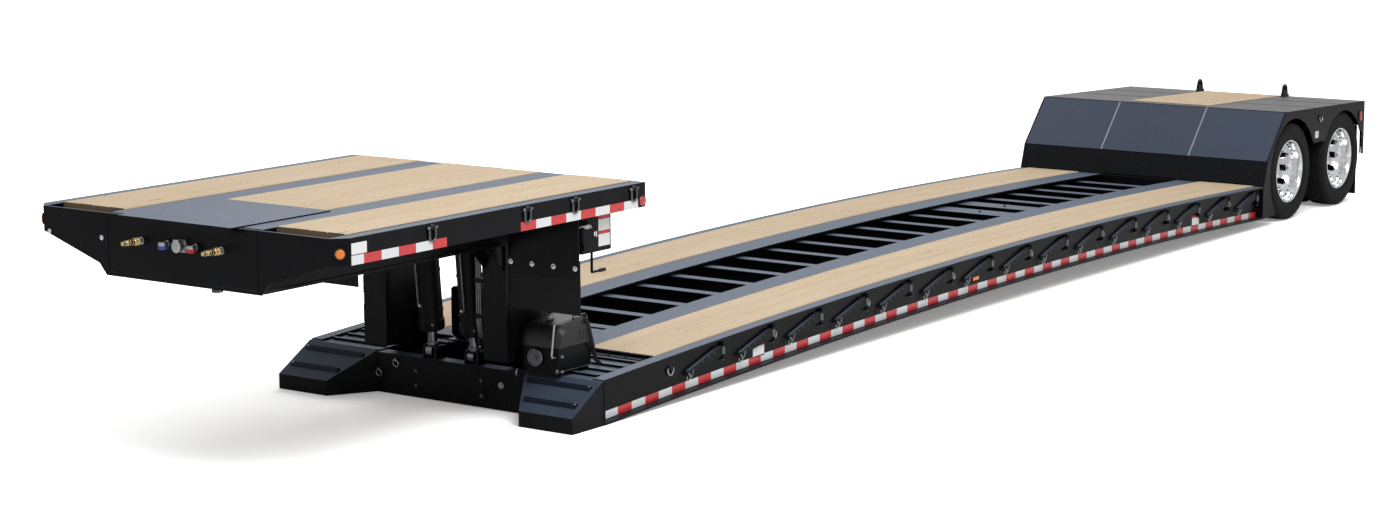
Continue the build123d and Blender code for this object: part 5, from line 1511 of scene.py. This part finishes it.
def lift_detail():
    """Gland nuts, ports, pipes and clamp bands on the lift cylinders; wiper rings on the rods."""
    top = at(LIFT_TOP[0], 0, LIFT_TOP[1])
    foot = at(LIFT_FOOT[0], 0, LIFT_FOOT[1])
    down = (foot - top).normalized()
    r = LIFT_R
    for name, side in NAMED_SIDES:
        y = side * LIFT_Y
        origin = top + Vector((0, y, 0))
        piece = Piece(f"lift_barrel_detail_{name}", "paint", "forged", "steel")
        piece.lathe(origin + down * 0.810, down, [(-0.070, r), (-0.068, r + 0.006), (-0.006, r + 0.006),
                (0.0, r + 0.002), (0.010, r - 0.006), (0.012, 0.0375), (-0.070, 0.0375)], "paint", 44,
                closed=True)
        for k in range(4):
            t = pi * (0.25 + 0.5 * k)
            notch = origin + down * 0.775 + Vector(((r + 0.005) * cos(t), (r + 0.005) * sin(t), 0))
            piece.lathe(notch, (cos(t), sin(t), 0), [(0, 0.009), (0.0025, 0.008), (0.0025, 0)], "forged", 14)
        for d in (0.105, 0.395, 0.670):
            piece.lathe(origin + down * d, down, [(0, r), (0.001, r + 0.004), (0.017, r + 0.004), (0.018, r)],
                        "paint", 44, closed=True)
        for d in (0.150, 0.640):
            port = origin + down * d + Vector((r - 0.002, 0, 0))
            piece.hexagon(port, (1, 0, 0.05), 0.018, 0.018, "forged")
            piece.lathe(port, (1, 0, 0.05), [(0.016, 0.011), (0.028, 0.011), (0.030, 0.008), (0.030, 0)],
                    "steel", 14)
        line = [origin + down * d + Vector((r + 0.014, side * 0.018, 0)) for d in
                (0.15, 0.20, 0.28, 0.38, 0.48, 0.58, 0.64)]
        piece.tube(line, 0.0070, "forged", 8)
        piece.done(f"lift_barrel_{name}", 0.0008, segments=1)
        piece = Piece(f"lift_rod_detail_{name}", "forged")
        piece.lathe(origin + down * 0.898, down, [(0, 0.0362), (0.002, 0.042), (0.014, 0.044), (0.018, 0.044),
                (0.020, 0.0362)], "forged", 32, closed=True)
        piece.bolt(foot + Vector((0, y + 0.0365, 0.052)), (0, 1, 0), 0.006, "forged")
        piece.done(f"lift_rod_{name}", 0.0)


ramp_detail()
coupling_detail()
column_detail()
lift_detail()


# ---------------------------------------------------------------- well: welds, clips and the bulkhead's seams

def well_run(y, drop, steps=40):
    """Points along the camber of the well at one y, a drop below its steel top."""
    stations = [WELL_START + 0.02 + (WELL_END - WELL_START - 0.04) * k / steps for k in range(steps + 1)]
    return [at(s, y, deck_z(s) - drop) for s in stations]


def well_detail():
    """Crossmember welds, plates across two bays, front strips, and a dark strip of painted shade along the
    rails' lower flange.
    """
    piece = Piece("well_detail", "paint", "dull", "shade")
    for i in range(CROSS_COUNT):
        s = CROSS_FIRST + i * CROSS_PITCH
        z = deck_z(s) - 0.042
        for side in SIDES:
            piece.weld(at(s - 0.048, side * BEAM_INNER, z + 0.001),
                    at(s + 0.048, side * BEAM_INNER, z + 0.001), 0.0042, "dull", 0.012)
            piece.weld(at(s, side * BEAM_INNER, z - 0.120), at(s, side * BEAM_INNER, z - 0.010), 0.0040,
                    "dull", 0.014)
            piece.weld(at(s - 0.046, side * (HALF - 0.072), z - 0.001),
                    at(s + 0.046, side * (HALF - 0.072), z - 0.001), 0.004, "dull", 0.014)
    for s, width in ((9.595, 0.250), (10.035, 0.230)):
        z = deck_z(s) - 0.0415
        piece.side([(s - width / 2, deck_z(s - width / 2) - 0.0415),
                (s + width / 2, deck_z(s + width / 2) - 0.0415),
                (s + width / 2, deck_z(s + width / 2) - 0.034),
                (s - width / 2, deck_z(s - width / 2) - 0.034)], -0.512, 0.512, "paint")
        for y in (-0.44, 0.0, 0.44):
            piece.bolt(at(s, y, z + 0.0075), UP, 0.008, "dull")
    for side in SIDES:
        low, high = across(side, TRACK_INNER, TRACK_OUTER)
        piece.block(TRACK_FRONT - 0.0075, TRACK_FRONT - 0.0015, low, high, deck_z(TRACK_FRONT) - 0.028,
                    deck_z(TRACK_FRONT) + 0.004, "paint")
        piece.block(TRACK_FRONT - 0.060, TRACK_FRONT - 0.0075, low, high, deck_z(TRACK_FRONT) - 0.0275,
                    deck_z(TRACK_FRONT) - 0.021, "dull")
        for k in range(4):
            y = side * (TRACK_INNER + 0.06 + 0.145 * k)
            piece.bolt(at(TRACK_FRONT - 0.038, y, deck_z(TRACK_FRONT) - 0.021), UP, 0.007, "dull")
    for side in SIDES:
        web = side * (HALF - RAIL_RECESS + 0.002)
        lower = BEAM_DEPTH - FLANGE_T
        piece.tube(well_run(web, FLANGE_T + 0.002), 0.0035, "dull", 6)
        piece.tube(well_run(web, lower - 0.001), 0.0030, "dull", 6)
        # Painted shade: a thin strip of darker paint laid over each rail's lower flange.
        low, high = across(side, HALF - RAIL_RECESS + 0.004, HALF - 0.0015)
        edges = [well_run(y, lower + d) for y, d in ((low, 0.001), (high, 0.001), (high, -0.0012),
                (low, -0.0012))]
        piece.loft(list(zip(*edges)), "shade")
    piece.weld(at(2.903, -0.40, 0.303), at(2.903, 0.40, 0.303), 0.004, "dull", 0.02)
    piece.weld(at(3.640, -0.40, deck_z(3.640) - 0.001), at(3.640, 0.40, deck_z(3.640) - 0.001), 0.003, "dull",
            0.02)
    piece.done("deck")


def air_lines():
    """Hard air and hydraulic lines with their clips, along the inner face of the right main beam."""
    piece = Piece("chassis_lines", "rubber", "steel", "forged")
    for k, (radius, name) in enumerate(((0.0065, "rubber"), (0.0065, "rubber"), (0.0080, "forged"))):
        y = -0.5195 + radius + 0.0005
        path = [at(s, y, deck_z(s) - 0.206 - 0.019 * k) for s in (3.02 + 9.52 * i / 44 for i in range(45))]
        piece.tube(path, radius, name, 8)
    for i in range(CROSS_COUNT):
        s = CROSS_FIRST + 0.22 + i * CROSS_PITCH
        z = deck_z(s)
        piece.block(s - 0.010, s + 0.010, -0.5194, -0.5010, z - 0.258, z - 0.193, "steel")
    piece.done("deck", 0.0)


def bulkhead_seams():
    """Ground weld seams down the bulkhead, welds on its folds and edges, and three strips at its foot."""
    piece = Piece("bulkhead_seams", "seam", "dull", "paint")
    knee_s, knee_z = KNEE
    face = 0.0025
    for y in (-0.452, 0.478):
        for (s0, z0), (s1, z1) in (((WELL_END + 0.002, 0.392), (knee_s, knee_z)),
                ((knee_s, knee_z), (SLOPE_TOP, REAR_FRONT_Z))):
            run = Vector((s1 - s0, z1 - z0)).normalized()
            out = Vector((-run.y, run.x)) * face
            lower = z1 < knee_z + 0.01
            width = 0.0045 if lower else 0.0075
            count = 40
            rings = []
            for i in range(count + 1):
                t = i / count
                s = s0 + (s1 - s0) * t + out.x * 0.2
                z = z0 + (z1 - z0) * t + out.y * 0.2
                w = width * (0.85 + 0.15 * sin(i * 2.3))
                rings.append([tuple(at(s, y - w, z)), tuple(at(s + out.x * 0.5, y, z + out.y * 0.5)),
                              tuple(at(s, y + w, z)), tuple(at(s - out.x, y, z - out.y))])
            piece.loft(rings, "dull" if lower else "seam")
    piece.weld(at(knee_s - 0.001, -HALF + 0.014, knee_z), at(knee_s - 0.001, HALF - 0.014, knee_z), 0.0028,
            "paint", 0.02)
    piece.weld(at(SLOPE_TOP - 0.001, -HALF + 0.014, REAR_FRONT_Z),
            at(SLOPE_TOP - 0.001, HALF - 0.014, REAR_FRONT_Z), 0.003, "paint", 0.02)
    for side in SIDES:
        y = side * (HALF - 0.0005)
        piece.weld(at(WELL_END + 0.006, y, 0.392), at(knee_s, y, knee_z), 0.0042, "dull", 0.013)
        piece.weld(at(knee_s, y, knee_z), at(SLOPE_TOP, y, REAR_FRONT_Z), 0.0042, "dull", 0.013)
    low = deck_z(WELL_END)
    for y0, y1 in ((-1.18, -0.66), (-0.38, 0.38), (0.66, 1.18)):
        piece.block(WELL_END - 0.0035, WELL_END + 0.0015, y0, y1, low + 0.010, low + 0.024, "dull")
    piece.done("deck")


well_detail()
air_lines()
bulkhead_seams()


# ---------------------------------------------------------------- rear frame, suspension and tail

def mud_flaps():
    """Ribbed rubber mud flaps on their spring hangers."""
    piece = Piece("mud_flap_pair", "flap", "steel", "paint")
    back = FRONT - LENGTH
    for side in SIDES:
        y0, y1 = across(side, *MUD_FLAP_EDGES)
        rings = []
        for k in range(15):
            z = 0.735 - 0.685 * k / 14
            sway = 0.0014 * sin(k * 0.7)
            rings.append([(back + 0.0018 + sway, y0, z), (back + 0.0018 + sway, y1, z),
                    (back + 0.0088 + sway, y1, z), (back + 0.0088 + sway, y0, z)])
        piece.loft(rings, "flap")
        for k in range(5):
            z = 0.10 + 0.020 * k
            piece.block(LENGTH - 0.0019, LENGTH - 0.0006, y0 + 0.03, y1 - 0.03, z, z + 0.008, "flap")
        piece.block(LENGTH - 0.016, LENGTH - 0.0095, y0, y1, 0.690, 0.742, "paint")
        for k in range(4):
            y = y0 + 0.06 + (y1 - y0 - 0.12) * k / 3
            piece.bolt(at(LENGTH - 0.016, y, 0.714), AHEAD, 0.007, "steel")
            piece.lathe(at(LENGTH - 0.0022, y, 0.714), BACK, [(0, 0.014), (0.0012, 0.013), (0.0016, 0)],
                    "steel", 14)
    piece.done("deck", 0.0008, ("mud_flaps",), "rubber", segments=1)


def air_springs():
    """Rolling-lobe air springs: bead plate, convoluted bellows and piston."""
    piece = Piece("air_spring_set", "rubber", "steel", "paint")
    low_z = 0.747
    for s in AXLES:
        for side in SIDES:
            o = at(s + 0.230, side * ARM_Y, 0)
            bottom = 0.560
            bellows = ((0, 0.088), (0.008, 0.094), (0.018, 0.118), (0.036, 0.131), (0.056, 0.129),
                    (0.074, 0.114), (0.084, 0.105), (0.094, 0.112), (0.112, 0.128), (0.134, 0.132),
                    (0.154, 0.124), (0.170, 0.104), (0.174, 0.092))
            profile = [(bottom + height, radius) for height, radius in bellows]
            piece.lathe(o, UP, profile, "rubber", 36)
            piece.lathe(o, UP, [(low_z - 0.014, 0.100), (low_z - 0.012, 0.108), (low_z - 0.003, 0.108),
                    (low_z - 0.001, 0.104)], "steel", 32)
            piece.lathe(o, UP, [(bottom + 0.080, 0.107), (bottom + 0.084, 0.111), (bottom + 0.088, 0.107)],
                    "steel", 32, closed=True)
            piece.lathe(o, UP, [(0.528, 0.070), (0.530, 0.082), (0.560, 0.092), (0.564, 0.090)], "paint", 28)
    piece.done("deck", 0.0, ("air_springs",), "rubber")


def suspension_detail():
    """U-bolts, pads, pivot bolts, shock absorbers, brake gear and the air tank's bands."""
    piece = Piece("suspension_detail", "steel", "forged", "rubber", "dull")
    for s in AXLES:
        for side in SIDES:
            y = side * ARM_Y
            for ds in (-0.085, 0.085):
                for dy in (-0.060, 0.060):
                    p = at(s + ds, y + dy, 0.330)
                    piece.rod(p, p + Vector((0, 0, 0.262)), 0.0085, "steel", 10, 0.002)
                    piece.hexagon(p + Vector((0, 0, 0.010)), (0, 0, -1), 0.0145, 0.012, "steel")
            piece.block(s - 0.105, s + 0.105, *sorted((y - 0.078, y + 0.078)), 0.340, 0.356, "dull")
            piece.block(s - 0.100, s + 0.100, *sorted((y - 0.074, y + 0.074)), 0.576, 0.592, "dull")
            for out in (-1, 1):
                o = at(s - 0.330, y + out * 0.061, 0.470)
                piece.bolt(o, (0, out, 0), 0.018, "forged")
            piece.rod(at(s + 0.10, side * 0.615, 0.40), at(s + 0.16, side * 0.615, 0.58), 0.022, "dull", 14,
                    0.003)
            piece.rod(at(s + 0.16, side * 0.615, 0.58), at(s + 0.205, side * 0.615, 0.72), 0.012, "steel", 12,
                    0.002)
            for u, z in ((s + 0.10, 0.40), (s + 0.205, 0.72)):
                piece.rod(at(u, side * 0.590, z), at(u, side * 0.640, z), 0.018, "rubber", 14, 0.003)
            cam = side * 0.360
            for ds in (0.118, 0.172, 0.226):
                piece.lathe(at(s + ds, cam, 0.476), BACK,
                        [(-0.004, 0.0785), (-0.003, 0.0830), (0.006, 0.0830), (0.007, 0.0785)], "steel", 30,
                        closed=True)
            piece.rod(at(s + 0.098, cam, 0.476), at(s + 0.020, cam, 0.498), 0.008, "steel", 10, 0.001)
            piece.side([(s + 0.028, 0.420), (s + 0.034, 0.512), (s + 0.010, 0.518), (s - 0.012, 0.420),
                    (s, 0.400)], *sorted((cam - side * 0.034, cam - side * 0.050)), "forged")
            piece.rod(at(s + 0.006, cam - side * 0.020, 0.418), at(s + 0.006, side * 0.640, 0.418), 0.016,
                    "dull", 14, 0.002)
            piece.tube([at(s + 0.20, cam, 0.555), at(s + 0.21, cam, 0.60), at(s + 0.16, cam * 0.9, 0.66),
                        at(s + 0.10, cam * 0.8, 0.70), at(s + 0.06, cam * 0.8, 0.745)], 0.0075, "rubber", 8)
    middle = (AXLES[0] + AXLES[1]) / 2
    for y in (-0.24, 0.24):
        band = [at(middle + 0.1125 * cos(t), y, 0.600 + 0.1125 * sin(t))
                for t in angles(36)]
        piece.tube(band, 0.0040, "steel", 6, closed=True)
        piece.block(middle - 0.012, middle + 0.012, y - 0.016, y + 0.016, 0.705, 0.86, "dull")
    for side in SIDES:
        end = at(middle, side * 0.380, 0.600)
        piece.lathe(end, (0, side, 0), [(-0.002, 0.111), (0.002, 0.109), (0.016, 0.096), (0.028, 0.066),
                (0.034, 0.030), (0.035, 0)], "dull", 36)
        piece.hexagon(end + Vector((0, side * 0.034, 0)), (0, side, 0), 0.012, 0.012, "forged")
    piece.done("deck", 0.0008, segments=1)


def fender_detail():
    """Deck seams, rub edges, arch rims, corner gussets and the lifting ears' welds."""
    piece = Piece("fender_detail", "paint", "dull")
    for side in SIDES:
        a = side * (HALF - 0.002)
        piece.tube([at(s, a, rear_z(s) - 0.001) for s in (SLOPE_TOP + 0.02, 13.6, 14.2, 14.7,
                LENGTH - 0.004)], 0.0028, "dull", 8)
        inner = side * 0.4235
        piece.tube([at(s, inner, rear_z(s) + 0.0005) for s in (13.26, 13.8, 14.4, LENGTH - 0.05)], 0.0022,
                "dull", 6)
        for s in (13.82, 14.42):
            piece.weld(at(s, side * 0.43, rear_z(s) + 0.0003),
                    at(s, side * (HALF - 0.01), rear_z(s) + 0.0003), 0.0022, "paint", 0.02)
        for s, radius, a0, a1 in ((AXLES[0], 0.513, 40, 150), (AXLES[1], 0.483, 28, 152)):
            path = [at(s - radius * cos(radians(t)), side * (HALF - 0.006), TYRE_R + radius * sin(radians(t)))
                    for t in range(a0, a1 + 1, 5)]
            path = [p for p in path if p.z > 0.694]
            if len(path) > 2:
                piece.tube(path, 0.0065, "paint", 8)
        piece.side([(LENGTH - 0.060, 0.47), (LENGTH - 0.035, 0.47), (LENGTH - 0.035, 0.95),
                (LENGTH - 0.20, 0.968), (LENGTH - 0.16, 0.93), (LENGTH - 0.065, 0.80)],
                *across(side, HALF - 0.020, HALF - 0.0125), "paint")
        for k in range(3):
            piece.bolt(at(LENGTH - 0.045, side * HALF, 0.52 + 0.07 * k), (0, side, 0), 0.006, "dull")
        base = rear_z(LENGTH - 0.09)
        for s in (LENGTH - 0.145, LENGTH - 0.036):
            piece.weld(at(s, side * 0.456, base + 0.002), at(s, side * 0.484, base + 0.002), 0.005, "dull",
                    0.006)
        for edge in (-1, 1):
            y = side * EAR_Y + edge * 0.0135
            piece.weld(at(LENGTH - 0.146, y, base + 0.003), at(LENGTH - 0.036, y, base + 0.003), 0.005,
                    "dull", 0.009)
            ring = [at(LENGTH - 0.082 + 0.0265 * cos(t), side * EAR_Y + edge * 0.0125,
                    1.0707 + 0.0265 * sin(t)) for t in angles(20)]
            piece.tube(ring, 0.0030, "dull", 6, closed=True)
    piece.done("deck", 0.0008, segments=1)


def tail_detail():
    """Lamp panels, reflective blocks and the blank plate holder at the tail."""
    piece = Piece("tail_detail", "paint", "red", "white", "label", "steel", "dull")
    face = LENGTH - 0.030
    for side in SIDES:
        for k in range(4):
            y0 = side * (0.640 + BLOCK * k)
            low, high = sorted((y0, y0 + side * (BLOCK - 0.001)))
            piece.block(face, face + 0.0012, low, high, 0.755, 0.806, "white" if k % 2 else "red")
        low, high = across(side, 0.800, 1.230)
        piece.block(face, face + 0.0018, low, high, 0.815, 0.905, "dull")
        low, high = across(side, 1.200, 1.270)
        piece.block(face, face + 0.0012, low, high, 0.925, 0.965, "white")
    piece.block(face, face + 0.004, -0.165, 0.165, 0.765, 0.868, "steel")
    piece.block(face + 0.004, face + 0.0052, -0.152, 0.152, 0.773, 0.860, "label")
    for y in (-0.140, 0.140):
        piece.bolt(at(face + 0.0052, y, 0.852), BACK, 0.0045, "steel")
    piece.block(face, face + 0.014, -0.050, 0.050, 0.872, 0.884, "dull")
    for y in (-0.34, 0.34):
        piece.block(face, face + 0.0015, y - 0.10, y + 0.10, 0.86, 0.94, "paint")
    piece.done("deck", 0.0006, segments=1)


mud_flaps()
air_springs()
suspension_detail()
fender_detail()
tail_detail()


# ---------------------------------------------------------------- finishes of the CAD nodes that stay

FINISH = {
    "paint": ("side_rails", "main_beams", "well_crossmembers", "front_plate", "front_ramps", "neck_coupling",
              "skirts", "booster_ears", "neck_beams", "neck_rails", "neck_end_walls", "neck_cover",
              "valve_box", "flap_hangers"),
    "dull": ("rear_frame", "axles", "trailing_arms", "air_tank", "neck_crossmembers", "lift_barrel_left",
             "lift_barrel_right"),
    "wall": ("bulkhead",),
    "fender": ("fender_decks",),
    "forged": ("kingpin_plate",),
    "rod": ("lift_rod_left", "lift_rod_right"),
    "steel": ("lift_shaft",),
}
for finish, names in FINISH.items():
    for name in names:
        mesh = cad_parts[name].data
        mesh.materials.clear()
        mesh.materials.append(M[finish])


# ---------------------------------------------------------------- floor, light and camera

def camera_rays(tree, rays):
    """A socket that is 1 for the camera's rays, straight or through glass."""
    seen = tree.nodes.new("ShaderNodeMath")
    seen.operation = "MAXIMUM"
    tree.links.new(rays.outputs["Is Camera Ray"], seen.inputs[0])
    tree.links.new(rays.outputs["Is Transmission Ray"], seen.inputs[1])
    return seen.outputs[0]


def studio_floor():
    """A large pale floor; the camera sees it near white, and it keeps the trailer's shadow."""
    material = bpy.data.materials.new("studio_floor")
    material.use_nodes = True
    tree = material.node_tree
    shader = tree.nodes["Principled BSDF"]
    shader.inputs["Base Color"].default_value = (0.90, 0.90, 0.90, 1)
    shader.inputs["Roughness"].default_value = 0.85
    shader.inputs["Specular IOR Level"].default_value = 0.1
    glow = tree.nodes.new("ShaderNodeEmission")
    glow.inputs["Color"].default_value = (1, 1, 1, 1)
    glow.inputs["Strength"].default_value = FLOOR_GLOW
    seen_floor = tree.nodes.new("ShaderNodeBsdfDiffuse")
    seen_floor.inputs["Color"].default_value = (*[FLOOR_WHITE] * 3, 1)
    both = tree.nodes.new("ShaderNodeAddShader")
    tree.links.new(seen_floor.outputs[0], both.inputs[0])
    tree.links.new(glow.outputs[0], both.inputs[1])
    rays = tree.nodes.new("ShaderNodeLightPath")
    pick = tree.nodes.new("ShaderNodeMixShader")
    tree.links.new(camera_rays(tree, rays), pick.inputs[0])
    tree.links.new(shader.outputs[0], pick.inputs[1])
    tree.links.new(both.outputs[0], pick.inputs[2])
    tree.links.new(pick.outputs[0], tree.nodes["Material Output"].inputs[0])
    mesh = bpy.data.meshes.new("studio_floor")
    size = 90.0
    low = CAD_BOX[0][2]
    mesh.from_pydata([(-size, -size, low), (size, -size, low), (size, size, low), (-size, size, low)], [],
            [(0, 1, 2, 3)])
    mesh.materials.append(material)
    floor = bpy.data.objects.new("studio_floor", mesh)
    scene.collection.objects.link(floor)


def studio_world():
    """Pale world: white to the camera, duller to glossy rays and dimmer still as light."""
    world = bpy.data.worlds.new("studio")
    scene.world = world
    world.use_nodes = True
    tree = world.node_tree
    back = tree.nodes["Background"]
    back.inputs["Color"].default_value = (1, 1, 1, 1)
    rays = tree.nodes.new("ShaderNodeLightPath")
    glossy = tree.nodes.new("ShaderNodeMath")
    glossy.operation = "MULTIPLY"
    glossy.inputs[1].default_value = GLOSS_LEVEL
    tree.links.new(rays.outputs["Is Glossy Ray"], glossy.inputs[0])
    top = tree.nodes.new("ShaderNodeMath")
    top.operation = "MAXIMUM"
    tree.links.new(camera_rays(tree, rays), top.inputs[0])
    tree.links.new(glossy.outputs[0], top.inputs[1])
    level = tree.nodes.new("ShaderNodeMapRange")
    level.inputs["To Min"].default_value = WORLD_LEVEL
    level.inputs["To Max"].default_value = 1.0
    tree.links.new(top.outputs[0], level.inputs["Value"])
    tree.links.new(level.outputs[0], back.inputs["Strength"])


def soft_light(name, place, aim, size, watts):
    lamp = bpy.data.lights.new(name, "AREA")
    lamp.shape = "RECTANGLE"
    lamp.size, lamp.size_y = size
    lamp.energy = watts
    body = bpy.data.objects.new(name, lamp)
    body.location = place
    body.rotation_euler = (Vector(aim) - Vector(place)).to_track_quat("-Z", "Y").to_euler()
    scene.collection.objects.link(body)


FLOOR_GLOW = 0.22
FLOOR_WHITE = 1.9
WORLD_LEVEL = 0.42
GLOSS_LEVEL = 0.42
studio_floor()
studio_world()
soft_light("key", (6.0, 9.0, 13.0), (0.0, 0.0, 0.3), (12.0, 7.0), 1750)
soft_light("fill", (-9.0, -8.0, 12.0), (-1.0, 0.0, 0.3), (14.0, 9.0), 900)


def camera():
    """Eye-level three-quarter view from ahead and to the left."""
    body = bpy.data.cameras.new("view")
    body.sensor_width = 36.0
    body.sensor_fit = "HORIZONTAL"
    body.lens = 73.542857
    body.clip_end = 300.0
    eye = bpy.data.objects.new("view", body)
    yaw = radians(215.582)
    pitch = radians(9.330)
    roll = radians(-0.278)
    ahead = Vector((cos(yaw) * cos(pitch), sin(yaw) * cos(pitch), -sin(pitch)))
    level = ahead.to_track_quat("-Z", "Y").to_matrix().to_4x4()
    place = Matrix.Translation((FRONT + 12.023, 12.446, 4.122))
    eye.matrix_world = place @ level @ Matrix.Rotation(roll, 4, "Z")
    scene.collection.objects.link(eye)
    scene.camera = eye


camera()
scene.view_settings.view_transform = "Standard"
